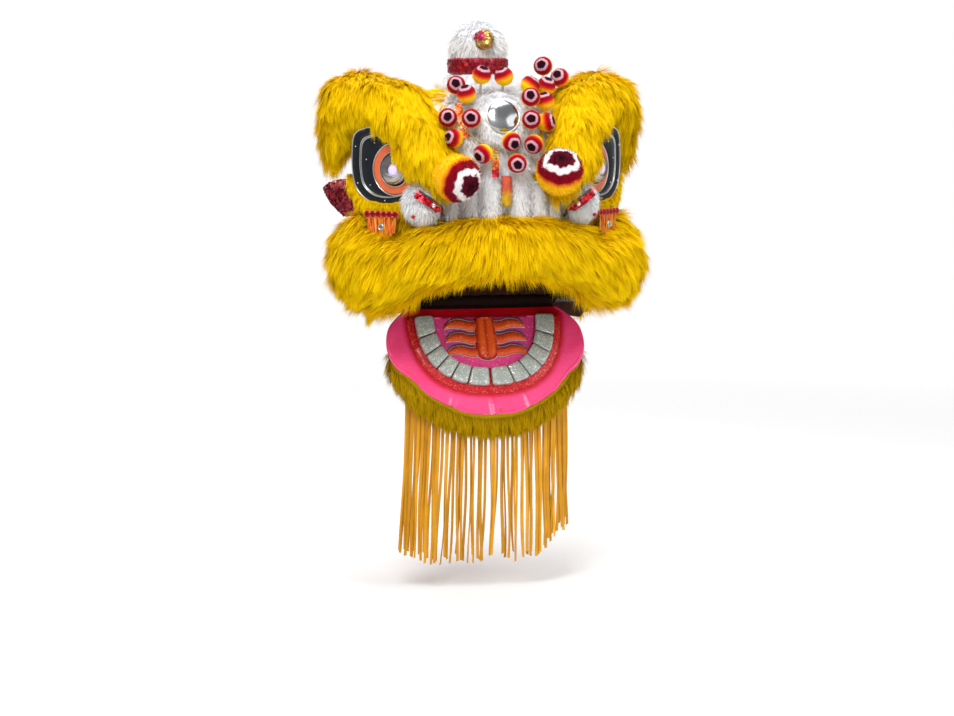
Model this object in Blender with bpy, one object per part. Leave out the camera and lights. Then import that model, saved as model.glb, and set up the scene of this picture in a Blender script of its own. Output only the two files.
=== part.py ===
# Lion dance head: a hollow fur-covered dome with brows, eyes, nose, horn and pompoms,
# and a lower jaw that swings on a rod between the cheeks.
# Metres, +Z up, the lion faces -Y. The origin is the middle of the carrying bar.
import math

import bmesh
import bpy
from mathutils import Matrix, Vector
from mathutils.bvhtree import BVHTree

for old in list(bpy.data.objects):
    bpy.data.objects.remove(old, do_unlink=True)

# Clearance between pieces that touch, and the growth of a neighbour's form when one is cut to it
GAP = 0.0003
CUT_CLEARANCE = 0.0004

# Head dome
HEAD_HALF_WIDTH = 0.248
HEAD_FRONT = 0.205
HEAD_BACK = 0.262
HEAD_CROWN = 0.372
SHELL_WALL = 0.003
HEAD_SQUARENESS = 2.3

# Bars
CARRY_BAR_RADIUS = 0.013
JAW_ROD_RADIUS = 0.006
JAW_HINGE_BACK = 0.010
JAW_HINGE_DROP = 0.060

# Soft rolls
BROW_RADIUS = 0.084
LIP_RADIUS = 0.068
LID_RADIUS = 0.021
LID_DEPTH_RADIUS = 0.027
LID_SET_BACK = 0.016
JAW_FUR_RADIUS = 0.027
LOCK_RELIEF = 0.055

# Horn
HORN_RADIUS = 0.057
HORN_HEIGHT = 0.150
HORN_TIP_LENGTH = 0.046

# Forehead mirror
MIRROR_RADIUS = 0.034
BOSS_RADIUS = 0.060
BOSS_DEPTH = 0.045

# Eyes
EYE_WIDTH = 0.102
EYE_HEIGHT = 0.070
EYE_TURN = math.radians(45)
EYE_BACKING = 0.085
IRIS_RADIUS = 0.052
IRIS_THICKNESS = 0.004
EYEBALL_RADIUS = 0.031
EYEBALL_HEIGHT = 0.020

# Nose
NOSE_RIB_RADIUS = 0.021
NOSE_STRIP_WIDTH = 0.018
NOSTRIL_WIDTH = 0.042
NOSTRIL_DEPTH = 0.034
NOSTRIL_HEIGHT = 0.040

# Ears
EAR_LENGTH = 0.135
EAR_WIDTH = 0.080
EAR_THICKNESS = 0.014

# Pompoms
LARGE_POMPOM_RADIUS = 0.047
SMALL_POMPOM_RADIUS = 0.0195
POMPOM_STEM_RADIUS = 0.003

# Jaw
JAW_HALF_WIDTH = 0.204
JAW_LENGTH = 0.250
JAW_DROOP = math.radians(64)
JAW_THICKNESS = 0.009
JAW_DISH = 0.006
SLEEVE_WALL = 0.004
TEETH_HALF_WIDTH = 0.145
TEETH_DEPTH = 0.159
TOOTH_LENGTH = 0.038
TOOTH_HEIGHT = 0.010
TOOTH_COUNT = 12
GUM_BAND = 0.015
GUM_THICKNESS = 0.005
PALATE_THICKNESS = 0.004
TONGUE_HALF_WIDTH = 0.023
TONGUE_LENGTH = 0.092
TONGUE_THICKNESS = 0.010
ARCH_START = 0.030
TOOTH_ROOT = 0.0015
TONGUE_START = 0.042
SCROLL_HEIGHT = 0.005

# Fringes
FRINGE_STRIP_THICKNESS = 0.003
BEARD_FOOT = 0.520
BEARD_RAGGEDNESS = 0.009
BEARD_STRIPS = 22
BEARD_HEADER = 0.020
BEARD_SWAY = 0.014
BEARD_SET_BACK = 0.004
BEARD_SPAN = (0.17, 0.83)
LID_FRINGE_WIDTH = 0.070
LID_FRINGE_LENGTH = 0.042
LID_FRINGE_HEADER = 0.012
LID_FRINGE_FORWARD = 0.018
LID_FRINGE_STRIPS = 6


# Materials and small mesh helpers
def material(name, colour, roughness, metallic=0.0):
    mat = bpy.data.materials.get(name)
    if mat:
        return mat
    mat = bpy.data.materials.new(name)
    mat.use_nodes = True
    shader = mat.node_tree.nodes["Principled BSDF"]
    shader.inputs["Base Color"].default_value = (*colour, 1.0)
    shader.inputs["Roughness"].default_value = roughness
    shader.inputs["Metallic"].default_value = metallic
    return mat


YELLOW_FUR = material("yellow_fur", (0.90, 0.68, 0.01), 0.9)
WHITE_FUR = material("white_fur", (0.85, 0.86, 0.90), 0.9)
YELLOW_CLOTH = material("yellow_cloth", (0.80, 0.58, 0.02), 0.85)
AMBER_FRINGE = material("amber_fringe", (0.80, 0.42, 0.03), 0.6)
BLACK_VINYL = material("black_vinyl", (0.01, 0.012, 0.015), 0.2)
ORANGE_VINYL = material("orange_vinyl", (0.80, 0.16, 0.03), 0.35)
MIRROR_SILVER = material("mirror_silver", (0.85, 0.86, 0.88), 0.05, 1.0)
PINK_VINYL = material("pink_vinyl", (0.90, 0.09, 0.30), 0.3)
RED_GLITTER = material("red_glitter", (0.62, 0.01, 0.02), 0.35)
SILVER_GLITTER = material("silver_glitter", (0.60, 0.64, 0.60), 0.35, 0.3)
GOLD_SEQUIN = material("gold_sequin", (0.80, 0.52, 0.10), 0.25, 1.0)
MAROON_SEQUIN = material("maroon_sequin", (0.20, 0.01, 0.04), 0.3, 0.4)
POMPOM_WOOL = material("pompom_wool", (0.42, 0.02, 0.04), 0.95)
WOOD = material("wood", (0.45, 0.28, 0.13), 0.6)
STEEL = material("steel", (0.55, 0.55, 0.56), 0.3, 1.0)


def solid(name, verts, faces, mat):
    mesh = bpy.data.meshes.new(name)
    mesh.from_pydata([tuple(v) for v in verts], [], faces)
    work = bmesh.new()
    work.from_mesh(mesh)
    bmesh.ops.recalc_face_normals(work, faces=work.faces)
    bmesh.ops.triangulate(work, faces=work.faces)
    work.to_mesh(mesh)
    work.free()
    mesh.materials.append(mat)
    mesh.shade_smooth()
    obj = bpy.data.objects.new(name, mesh)
    bpy.context.scene.collection.objects.link(obj)
    return obj


def skin_rings(rings, closed=True):
    """Vertices and faces of a closed body through rings of equal count, with a fan at each end."""
    count = len(rings[0])
    verts = [point for ring in rings for point in ring]
    faces = []
    for k in range(len(rings) - 1):
        for i in range(count):
            j = (i + 1) % count
            faces.append((k * count + i, k * count + j, (k + 1) * count + j, (k + 1) * count + i))
    if closed:
        for k in (0, len(rings) - 1):
            middle = len(verts)
            verts.append(sum(rings[k], Vector()) / count)
            faces += [(k * count + i, k * count + (i + 1) % count, middle) for i in range(count)]
    return verts, faces


def loft(name, rings, mat):
    verts, faces = skin_rings(rings)
    return solid(name, verts, faces, mat)


def smooth_rows(rows, share):
    """A point on the smooth curve through the rows, share running from 0 to 1."""
    place = min(max(share, 0.0), 1.0) * (len(rows) - 1)
    k = min(int(place), len(rows) - 2)
    t = place - k
    before, start, end, after = (rows[min(max(k + o, 0), len(rows) - 1)] for o in (-1, 0, 1, 2))
    return [0.5 * (2 * b + (c - a) * t + (2 * a - 5 * b + 4 * c - d) * t * t
                   + (3 * b - a - 3 * c + d) * t ** 3)
            for a, b, c, d in zip(before, start, end, after)]


def evaluated(obj):
    bpy.context.view_layer.update()
    graph = bpy.context.evaluated_depsgraph_get()
    mesh = bpy.data.meshes.new_from_object(obj.evaluated_get(graph))
    obj.modifiers.clear()
    old = obj.data
    obj.data = mesh
    bpy.data.meshes.remove(old)
    return obj


def boolean(obj, other, operation, solver="EXACT"):
    step = obj.modifiers.new(operation.lower(), "BOOLEAN")
    step.operation = operation
    step.object = other
    step.solver = solver
    return evaluated(obj)


def keep_largest(obj):
    """Drop the loose crumbs that a cut leaves, keeping the biggest island."""
    work = bmesh.new()
    work.from_mesh(obj.data)
    bmesh.ops.remove_doubles(work, verts=work.verts, dist=1e-6)
    left = set(work.verts)
    islands = []
    while left:
        island = set()
        stack = [left.pop()]
        while stack:
            vert = stack.pop()
            island.add(vert)
            for edge in vert.link_edges:
                other = edge.other_vert(vert)
                if other in left:
                    left.discard(other)
                    stack.append(other)
        islands.append(island)
    islands.sort(key=len)
    for island in islands[:-1]:
        bmesh.ops.delete(work, geom=list(island), context="VERTS")
    work.to_mesh(obj.data)
    work.free()
    return obj


def grown_copy(form, distance):
    mesh = form.copy()
    work = bmesh.new()
    work.from_mesh(mesh)
    work.normal_update()
    moves = [(vert, vert.normal * distance * min(vert.calc_shell_factor(), 3.0)) for vert in work.verts]
    for vert, move in moves:
        vert.co += move
    work.to_mesh(mesh)
    work.free()
    cutter = bpy.data.objects.new("cutter", mesh)
    bpy.context.scene.collection.objects.link(cutter)
    return cutter


UNCUT_FORMS = {}


def fit_against(obj, neighbours, solver="EXACT"):
    """Cut the piece back so that it lies GAP clear of each neighbour's uncut form."""
    UNCUT_FORMS.setdefault(obj.name, obj.data.copy())
    for neighbour in neighbours:
        cutter = grown_copy(UNCUT_FORMS.get(neighbour.name, neighbour.data), CUT_CLEARANCE)
        cutter.parent = obj.parent
        boolean(obj, cutter, "DIFFERENCE", solver)
        bpy.data.objects.remove(cutter, do_unlink=True)
    return keep_largest(obj)


def mirrored(side, vector):
    return Vector((side * vector[0], vector[1], vector[2]))


SIDES = {"left": -1, "right": 1}

# Head form: profile rows from the lowest rim to the crown, as shares of
# crown height, half width, front depth and back depth.
HEAD_SECTIONS = [
    # height, width, front, back
    (-0.30, 0.90, 0.60, 0.84),
    (-0.15, 0.95, 0.76, 0.92),
    (0.04, 0.975, 0.91, 0.97),
    (0.25, 0.99, 0.97, 1.00),
    (0.48, 1.00, 1.00, 1.00),
    (0.68, 0.96, 0.965, 0.95),
    (0.84, 0.84, 0.85, 0.82),
    (0.94, 0.62, 0.63, 0.60),
    (0.99, 0.32, 0.32, 0.30),
    (1.00, 0.02, 0.02, 0.02),
]
# Rim height as a share of crown height, by angle round the head from the front
RIM_ROWS = [
    # degrees, height
    (0, 0.02),
    (45, 0.02),
    (62, -0.04),
    (78, -0.22),
    (100, -0.28),
    (180, -0.27),
]
HEAD_COLUMNS = 22
HEAD_RINGS = 8


def rim_height(angle):
    degrees = abs(math.degrees(angle))
    for (a0, h0), (a1, h1) in zip(RIM_ROWS, RIM_ROWS[1:]):
        if degrees <= a1:
            t = (degrees - a0) / (a1 - a0)
            return h0 + (h1 - h0) * t * t * (3 - 2 * t)
    return RIM_ROWS[-1][1]


def head_point(share, angle, offset=0.0):
    """A point of the dome, angle 0 at the front, moved outward by offset."""
    height, width, front, back = smooth_rows(HEAD_SECTIONS, share)
    power = 2 / HEAD_SQUARENESS
    across, ahead = math.sin(angle), math.cos(angle)
    depth = front * HEAD_FRONT if ahead > 0 else back * HEAD_BACK
    reach = max(width * HEAD_HALF_WIDTH + offset, 0.002)
    depth = max(depth + offset, 0.002)
    return Vector((
        math.copysign(abs(across) ** power, across) * reach,
        -math.copysign(abs(ahead) ** power, ahead) * depth,
        height * (HEAD_CROWN + offset),
    ))


COLUMN_ANGLES = [(i / HEAD_COLUMNS * 2 - 1) * math.pi for i in range(HEAD_COLUMNS)]


def core_solid(offset):
    """The dome's outer form as one closed body, moved outward by offset."""
    return loft("core", [[head_point(k / HEAD_RINGS, angle, offset) for angle in COLUMN_ANGLES]
                         for k in range(HEAD_RINGS + 1)], YELLOW_CLOTH)


def cut_by_core(obj, solver="EXACT"):
    UNCUT_FORMS[obj.name] = obj.data.copy()
    core = core_solid(GAP)
    boolean(obj, core, "DIFFERENCE", solver)
    bpy.data.objects.remove(core, do_unlink=True)
    return keep_largest(obj)


# Shell: one wall between the outer form and the form inside it, trimmed along the rim
TRIM_FOOT = -0.6
TRIM_OUTSIDE = 1.4
TRIM_INSIDE = 0.5


def trim_point(angle, reach, height):
    return Vector((math.sin(angle) * HEAD_HALF_WIDTH * reach, -math.cos(angle) * HEAD_BACK * reach,
                   HEAD_CROWN * height))


def build_shell():
    wall = core_solid(0.0)
    wall.name = "shell"
    below = [[trim_point(a, TRIM_OUTSIDE, TRIM_FOOT) for a in COLUMN_ANGLES],
             [trim_point(a, TRIM_OUTSIDE, rim_height(a)) for a in COLUMN_ANGLES],
             [trim_point(a, TRIM_INSIDE, rim_height(a)) for a in COLUMN_ANGLES]]
    for cutter in (core_solid(-SHELL_WALL), loft("below_rim", below, YELLOW_CLOTH)):
        boolean(wall, cutter, "DIFFERENCE")
        bpy.data.objects.remove(cutter, do_unlink=True)
    return keep_largest(wall)


shell = build_shell()


# Bars across the inside, their ends shaped to the wall
def bar(name, radius, y, z, mat, sides=14):
    rings = []
    for x in (-HEAD_HALF_WIDTH * 1.2, HEAD_HALF_WIDTH * 1.2):
        rings.append([Vector((x, y + radius * math.cos(a), z + radius * math.sin(a)))
                      for a in (math.tau * i / sides for i in range(sides))])
    rod = loft(name, rings, mat)
    inside = core_solid(-SHELL_WALL - GAP)
    boolean(rod, inside, "INTERSECT")
    bpy.data.objects.remove(inside, do_unlink=True)
    return rod


carry_bar = bar("carry_bar", CARRY_BAR_RADIUS, 0.0, 0.0, WOOD)
jaw_rod = bar("jaw_rod", JAW_ROD_RADIUS, -JAW_HINGE_BACK, -JAW_HINGE_DROP, STEEL)


# Fur rolls: a smooth path with an oval section, its locks raised in turn
def roll(name, stations, size, middle, axis, rings, sides, mat):
    """A roll that bends round an axis through middle: every section lies in a plane through that axis.

    Stations hold x, y, z as shares of the head's sizes, then the half widths away from the axis
    and along it as shares of size."""
    loops = []
    for k in range(rings + 1):
        x, y, z, across, along = smooth_rows(stations, k / rings)
        point = Vector((x * HEAD_HALF_WIDTH, y * HEAD_FRONT, z * HEAD_CROWN))
        away = point - middle
        away = (away - axis * away.dot(axis)).normalized()
        loop = []
        for i in range(sides):
            angle = math.tau * i / sides
            lock = size * (1 + LOCK_RELIEF * (1 if (i + k) % 2 else -1))
            loop.append(point + away * (across * lock * math.cos(angle))
                        + axis * (along * lock * math.sin(angle)))
        loops.append(loop)
    return loft(name, loops, mat)


UP = Vector((0, 0, 1))
FORWARD = Vector((0, -1, 0))
RIGHT = Vector((1, 0, 0))


# Eye plates: a teardrop outline turned outward, backed down to the shell
EYE_PLACE = (0.8185, -0.683, 0.575)
EYE_OUTLINE = [
    # out, up
    (0.98, 0.95),
    (1.03, 0.45),
    (1.02, -0.10),
    (0.92, -0.60),
    (0.62, -0.93),
    (0.20, -1.00),
    (-0.25, -0.86),
    (-0.55, -0.55),
    (-0.70, -0.05),
    (-0.62, 0.60),
    (-0.25, 1.05),
    (0.35, 1.20),
    (0.75, 1.15),
]


def eye_point(side, out, up, forward):
    """A point beside the eye's centre: outward along the plate, up, and off its face."""
    tangent = Vector((math.cos(EYE_TURN), math.sin(EYE_TURN), 0))
    normal = Vector((math.sin(EYE_TURN), -math.cos(EYE_TURN), 0))
    centre = Vector((EYE_PLACE[0] * HEAD_HALF_WIDTH, EYE_PLACE[1] * HEAD_FRONT, EYE_PLACE[2] * HEAD_CROWN))
    return mirrored(side, centre + tangent * out + UP * up + normal * forward)


def eye_disc(name, side, outline, steps, mat):
    """A body through copies of the outline, each step giving its scale and its height off the plate."""
    rings = [[eye_point(side, out * scale, up * scale, forward) for out, up in outline]
             for scale, forward in steps]
    return loft(name, rings, mat)


def closed_outline(rows, count):
    around = rows[-1:] + rows + rows[:2]
    span = len(rows)
    points = []
    for i in range(count):
        share = (1 + i / count * span) / (len(around) - 1)
        points.append(smooth_rows(around, share))
    return points


eye_sockets, eye_irises, eye_balls = {}, {}, {}
for side_name, side in SIDES.items():
    outline = [(out * EYE_WIDTH, up * EYE_HEIGHT) for out, up in closed_outline(EYE_OUTLINE, 20)]
    eye_sockets[side_name] = cut_by_core(eye_disc(
        "eye_socket_" + side_name, side, outline,
        [(1.0, -EYE_BACKING), (1.0, -0.006), (0.95, 0.0)], BLACK_VINYL))
    iris_outline = [(IRIS_RADIUS * math.cos(a), IRIS_RADIUS * math.sin(a))
                    for a in (math.tau * i / 16 for i in range(16))]
    eye_irises[side_name] = eye_disc(
        "eye_iris_" + side_name, side, iris_outline,
        [(1.0, GAP), (1.0, 0.6 * IRIS_THICKNESS), (0.94, IRIS_THICKNESS)], ORANGE_VINYL)
    ball_outline = [(EYEBALL_RADIUS * math.cos(a), EYEBALL_RADIUS * math.sin(a))
                    for a in (math.tau * i / 14 for i in range(14))]
    dome = [(math.cos(t), IRIS_THICKNESS + GAP + EYEBALL_HEIGHT * math.sin(t))
            for t in (math.radians(d) for d in (0, 35, 68))]
    eye_balls[side_name] = eye_disc("eye_ball_" + side_name, side, ball_outline, dome, MIRROR_SILVER)


# Mirror boss: a fur dome on the forehead, tilted up, with the mirror seated on its flat
BOSS_PLACE = (0.0, -0.765, 0.808)
BOSS_TILT = math.radians(20)
MIRROR_RISE = 0.002


def boss_frame():
    x, y, z = BOSS_PLACE
    place = Matrix.Translation((x * HEAD_HALF_WIDTH, y * HEAD_FRONT, z * HEAD_CROWN))
    return place @ Matrix.Rotation(math.radians(90) - BOSS_TILT, 4, "X")


def dome_rings(frame, radius, rows, sides, relief=0.0, stretch=1.0):
    """Rows of radius and height shares, turned about the frame's z axis."""
    rings = []
    for k, (reach, height) in enumerate(rows):
        ring = []
        for i in range(sides):
            angle = math.tau * i / sides
            lock = 1 + relief * (1 if (i + k) % 2 else -1)
            ring.append(frame @ Vector((radius * reach * lock * math.cos(angle),
                                        radius * reach * lock * stretch * math.sin(angle), height)))
        rings.append(ring)
    return rings


BOSS_ROWS = [
    # radius share, height share of the boss
    (0.95, -1.2),
    (1.05, -0.4),
    (1.0, 0.2),
    (0.96, 0.62),
    (0.84, 0.90),
    (0.50, 0.92),
]
mirror_boss = cut_by_core(loft("mirror_boss", dome_rings(
    boss_frame(), BOSS_RADIUS, [(r, h * BOSS_DEPTH) for r, h in BOSS_ROWS], 16, LOCK_RELIEF), WHITE_FUR))
mirror_base = BOSS_DEPTH * 0.93 + GAP
mirror = loft("mirror", dome_rings(boss_frame() @ Matrix.Translation((0, MIRROR_RISE, 0)), MIRROR_RADIUS, [
    (0.90, mirror_base), (1.0, mirror_base + 0.004), (0.82, mirror_base + 0.009),
    (0.45, mirror_base + 0.013)], 16), MIRROR_SILVER)


# Horn: white fur foot, maroon collar, white fur cap and a gold tip at the front
HORN_PLACE = (0.0, 0.10)
HORN_FOOT_ROWS = [
    # radius share, height above the foot as a share of the horn
    (1.36, -0.35),
    (1.40, 0.02),
    (1.33, 0.22),
    (1.08, 0.355),
]
HORN_COLLAR_ROWS = [
    (1.02, 0.355),
    (1.06, 0.40),
    (1.04, 0.54),
    (0.98, 0.575),
]
HORN_CAP_ROWS = [
    (0.92, 0.575),
    (1.00, 0.66),
    (1.00, 0.80),
    (0.86, 0.95),
    (0.58, 1.04),
    (0.22, 1.085),
]
HORN_TIP_ROWS = [
    # radius share of the tip, length share
    (0.80, -0.55),
    (0.86, 0.10),
    (0.62, 0.55),
    (0.30, 0.90),
    (0.06, 1.0),
]
horn_base = Vector((HORN_PLACE[0] * HEAD_HALF_WIDTH, HORN_PLACE[1] * HEAD_FRONT, HEAD_CROWN * 0.93))


def horn_part(name, rows, lift, sides, mat, relief=0.0):
    frame = Matrix.Translation(horn_base + UP * lift)
    return loft(name, dome_rings(frame, HORN_RADIUS, [(r, h * HORN_HEIGHT) for r, h in rows],
                                 sides, relief), mat)


horn_foot = cut_by_core(horn_part("horn_foot", HORN_FOOT_ROWS, 0.0, 12, WHITE_FUR, LOCK_RELIEF))
horn_collar = horn_part("horn_collar", HORN_COLLAR_ROWS, GAP, 16, MAROON_SEQUIN)
horn_cap = horn_part("horn_cap", HORN_CAP_ROWS, 2 * GAP, 14, WHITE_FUR, LOCK_RELIEF)
tip_frame = (Matrix.Translation(horn_base + UP * HORN_HEIGHT * 0.82 + FORWARD * HORN_RADIUS * 0.90)
             @ Matrix.Rotation(math.radians(102), 4, "X"))
horn_tip = fit_against(loft("horn_tip", dome_rings(
    tip_frame, HORN_TIP_LENGTH * 0.5, [(r, h * HORN_TIP_LENGTH) for r, h in HORN_TIP_ROWS], 10),
    GOLD_SEQUIN), [horn_cap])


# Nose: white fur ribs side by side in one piece, with an orange strip in the middle groove
NOSE_ROWS = [
    # x share, top share, bottom share, front share, fullness of the rib
    (0.036, 0.630, 0.330, 1.160, 0.0),
    (0.070, 0.645, 0.315, 1.165, 0.8),
    (0.125, 0.650, 0.310, 1.165, 1.0),
    (0.180, 0.635, 0.310, 1.155, 0.8),
    (0.212, 0.560, 0.310, 1.140, 0.1),
    (0.240, 0.510, 0.305, 1.130, 0.8),
    (0.280, 0.500, 0.300, 1.120, 1.0),
    (0.320, 0.495, 0.300, 1.105, 0.8),
    (0.350, 0.490, 0.300, 1.085, 0.1),
    (0.378, 0.490, 0.300, 1.070, 0.8),
    (0.420, 0.485, 0.300, 1.050, 1.0),
    (0.462, 0.470, 0.305, 1.020, 0.7),
    (0.490, 0.440, 0.320, 0.980, 0.0),
]
NOSE_SECTION = [
    # back from the front face and down from the top, as shares of the rib radius
    (3.2, 0.0),
    (0.70, 0.0),
    (0.15, 0.35),
    (0.0, 1.0),
]


def nose_ring(side, row):
    x, top, bottom, front, full = row
    hollow = (1 - full) * NOSE_RIB_RADIUS
    face = front * HEAD_FRONT - 0.8 * hollow
    high = top * HEAD_CROWN - 0.4 * hollow
    low = bottom * HEAD_CROWN + 0.4 * hollow
    corner = min(NOSE_RIB_RADIUS, 0.4 * (high - low))
    upper = [(face - back * NOSE_RIB_RADIUS, high - drop * corner) for back, drop in NOSE_SECTION]
    lower = [(face - back * NOSE_RIB_RADIUS, low + drop * corner) for back, drop in reversed(NOSE_SECTION)]
    return [Vector((side * x * HEAD_HALF_WIDTH, -ahead, z)) for ahead, z in upper + lower]


nose_rings = [nose_ring(-1, row) for row in reversed(NOSE_ROWS)] + [nose_ring(1, row) for row in NOSE_ROWS]
nose = cut_by_core(loft("nose", nose_rings, WHITE_FUR))

groove_front = NOSE_ROWS[0][3] * HEAD_FRONT - 0.8 * NOSE_RIB_RADIUS + GAP
strip_low, strip_high = 0.40 * HEAD_CROWN, 0.62 * HEAD_CROWN
strip_rings = []
for share, width in ((0.0, 0.8), (0.15, 1.0), (0.85, 1.0), (1.0, 0.7)):
    z = strip_low + (strip_high - strip_low) * share
    half = NOSE_STRIP_WIDTH / 2 * width - GAP
    strip_rings.append([Vector((x * half, -(groove_front + y * NOSE_STRIP_WIDTH), z))
                        for x, y in ((-0.8, 0.0), (0.8, 0.0), (1, 0.5), (0.5, 0.8), (-0.5, 0.8), (-1, 0.5))])
nose_strip = loft("nose_strip", strip_rings, ORANGE_VINYL)


# Nostrils: white fur lumps beside the nose
NOSTRIL_PLACE = (0.645, -0.915, 0.40)
NOSTRIL_TURN = math.radians(32)
nostrils = {}
for side_name, side in SIDES.items():
    rings = []
    for k, latitude in enumerate((-75, -48, -18, 12, 42, 72)):
        ring = []
        for i in range(12):
            angle = math.tau * (i + k % 2 * 0.5) / 12
            reach = math.cos(math.radians(latitude)) * (1 + LOCK_RELIEF * (-1) ** i)
            x = NOSTRIL_WIDTH * reach * math.cos(angle)
            y = NOSTRIL_DEPTH * reach * math.sin(angle)
            turned = Matrix.Rotation(NOSTRIL_TURN, 3, "Z") @ Vector((x, y, 0))
            centre = Vector((NOSTRIL_PLACE[0] * HEAD_HALF_WIDTH, NOSTRIL_PLACE[1] * HEAD_FRONT,
                             NOSTRIL_PLACE[2] * HEAD_CROWN))
            ring.append(mirrored(side, centre + turned
                                 + UP * NOSTRIL_HEIGHT * math.sin(math.radians(latitude))))
        rings.append(ring)
    nostrils[side_name] = fit_against(cut_by_core(loft("nostril_" + side_name, rings, WHITE_FUR)),
                                      [nose, eye_sockets[side_name]])


# Lower lids: fur rolls along the lower edge of each eye
LID_ROWS = [
    # out as a share of eye width, up as a share of eye height, radius share
    (-0.58, -0.80, 0.55),
    (-0.30, -1.00, 0.90),
    (0.15, -1.13, 1.00),
    (0.60, -1.09, 1.00),
    (0.98, -0.78, 0.90),
    (1.20, -0.25, 0.60),
]
lids = {}
for side_name, side in SIDES.items():
    rings = []
    for k in range(9):
        out, up, size = smooth_rows(LID_ROWS, k / 8)
        ring = []
        for i in range(8):
            angle = math.tau * i / 8
            lock = size * (1 + LOCK_RELIEF * (1 if (i + k) % 2 else -1))
            ring.append(eye_point(side, out * EYE_WIDTH,
                                  up * EYE_HEIGHT + LID_RADIUS * lock * math.cos(angle),
                                  LID_DEPTH_RADIUS * lock * math.sin(angle) - LID_SET_BACK))
        rings.append(ring)
    lids[side_name] = fit_against(cut_by_core(loft("lower_lid_" + side_name, rings, YELLOW_FUR)),
                                  [eye_sockets[side_name], nostrils[side_name]])


# Pompoms: tufted balls on short spring stems, seated on what lies behind or below them
POMPOMS = [
    # x, z and y as shares of half width, crown and front, then how far the stem runs back and down
    (-0.306, 1.019, -0.585, 0.3, 1.0),
    (-0.266, 0.973, -0.820, 1.0, 0.6),
    (-0.431, 0.849, -0.888, 1.0, 0.0),
    (-0.266, 0.847, -1.034, 1.0, 0.0),
    (-0.403, 0.742, -1.000, 1.0, 0.0),
    (-0.210, 0.664, -1.244, 1.0, 0.0),
    (-0.105, 1.075, -0.634, 0.5, 1.0),
    (0.085, 1.065, -0.585, 0.5, 1.0),
    (0.431, 1.124, -0.488, 0.3, 1.0),
    (0.573, 1.059, -0.478, 0.3, 1.0),
    (0.282, 1.019, -0.683, 0.5, 1.0),
    (0.431, 1.013, -0.610, 0.5, 1.0),
    (0.234, 0.957, -0.956, 1.0, 0.6),
    (0.379, 0.933, -0.805, 1.0, 0.6),
    (0.214, 0.839, -1.075, 1.0, 0.0),
    (0.363, 0.823, -0.927, 1.0, 0.0),
    (0.032, 0.726, -1.172, 1.0, 0.0),
    (0.226, 0.710, -1.112, 1.0, 0.0),
    (0.056, 0.613, -1.278, 1.0, 0.0),
]
LARGE_POMPOMS = [
    (-0.427, 0.538, -1.278, 1.0, 0.0),
    (0.403, 0.565, -1.278, 1.0, 0.0),
]


def tree_of(obj):
    work = bmesh.new()
    work.from_mesh(obj.data)
    work.transform(obj.matrix_world)
    tree = BVHTree.FromBMesh(work)
    work.free()
    return tree


def stem_length(centre, way, radius, trees):
    """Distance from the ball's centre along the stem to the nearest surface behind it."""
    side = way.orthogonal().normalized()
    other = way.cross(side)
    hits = []
    for i in range(8):
        start = centre + (side * math.cos(math.tau * i / 8) + other * math.sin(math.tau * i / 8)) * radius
        for tree in trees:
            place, _, _, distance = tree.ray_cast(start, way)
            if place:
                hits.append(distance)
    return min(hits)


def pompom(name, centre, way, radius, reach, sides, latitudes):
    frame = Matrix.Translation(centre) @ way.to_track_quat("Z", "Y").to_matrix().to_4x4()
    rows = []
    for latitude in latitudes:
        angle = math.radians(latitude)
        rows.append((math.cos(angle), radius * math.sin(angle)))
    rows += [(POMPOM_STEM_RADIUS / radius, radius * 0.97), (POMPOM_STEM_RADIUS / radius, reach)]
    rings = []
    for k, (share, height) in enumerate(rows):
        stem = k >= len(latitudes)
        ring = []
        for i in range(sides):
            turn = math.tau * (i + (0 if stem else k % 2 * 0.5)) / sides
            lock = 1.0 if stem else 1 + 0.05 * (1 if (i + k) % 2 else -1)
            ring.append(frame @ Vector((share * lock * radius * math.cos(turn),
                                        share * lock * radius * math.sin(turn), height)))
        rings.append(ring)
    return loft(name, rings, POMPOM_WOOL)


carriers = [tree_of(obj) for obj in [shell, mirror_boss, horn_foot, nose] + list(nostrils.values())]


def place_pompoms(rows, prefix, radius, sides, latitudes):
    placed = []
    for number, (x, z, y, back, down) in enumerate(rows, 1):
        centre = Vector((x * HEAD_HALF_WIDTH, y * HEAD_FRONT, z * HEAD_CROWN))
        way = Vector((0, back, -down)).normalized()
        reach = stem_length(centre, way, POMPOM_STEM_RADIUS, carriers) - GAP
        placed.append(pompom(prefix + "%02d" % number, centre, way, radius, reach, sides, latitudes))
    return placed


LARGE_LATITUDES = (-78, -52, -26, 0, 26, 52, 74)
SMALL_LATITUDES = (-66, -22, 22, 64)
pompoms = place_pompoms(LARGE_POMPOMS, "large_pompom_", LARGE_POMPOM_RADIUS, 10, LARGE_LATITUDES)
pompoms += place_pompoms(POMPOMS, "pompom_", SMALL_POMPOM_RADIUS, 6, SMALL_LATITUDES)


# Brows: deep fur rolls from the temple over the eye and down to the nose
BROW_STATIONS = [
    # x, y, z, across, up
    (1.235, 0.08, 0.550, 0.24, 0.24),
    (1.205, 0.05, 0.705, 0.50, 0.50),
    (1.110, 0.00, 0.900, 0.88, 0.86),
    (0.890, -0.16, 0.912, 1.02, 0.98),
    (0.690, -0.48, 0.812, 1.06, 0.98),
    (0.590, -0.76, 0.672, 0.88, 0.88),
    (0.495, -0.94, 0.548, 0.64, 0.66),
    (0.425, -1.04, 0.455, 0.38, 0.40),
]
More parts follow.
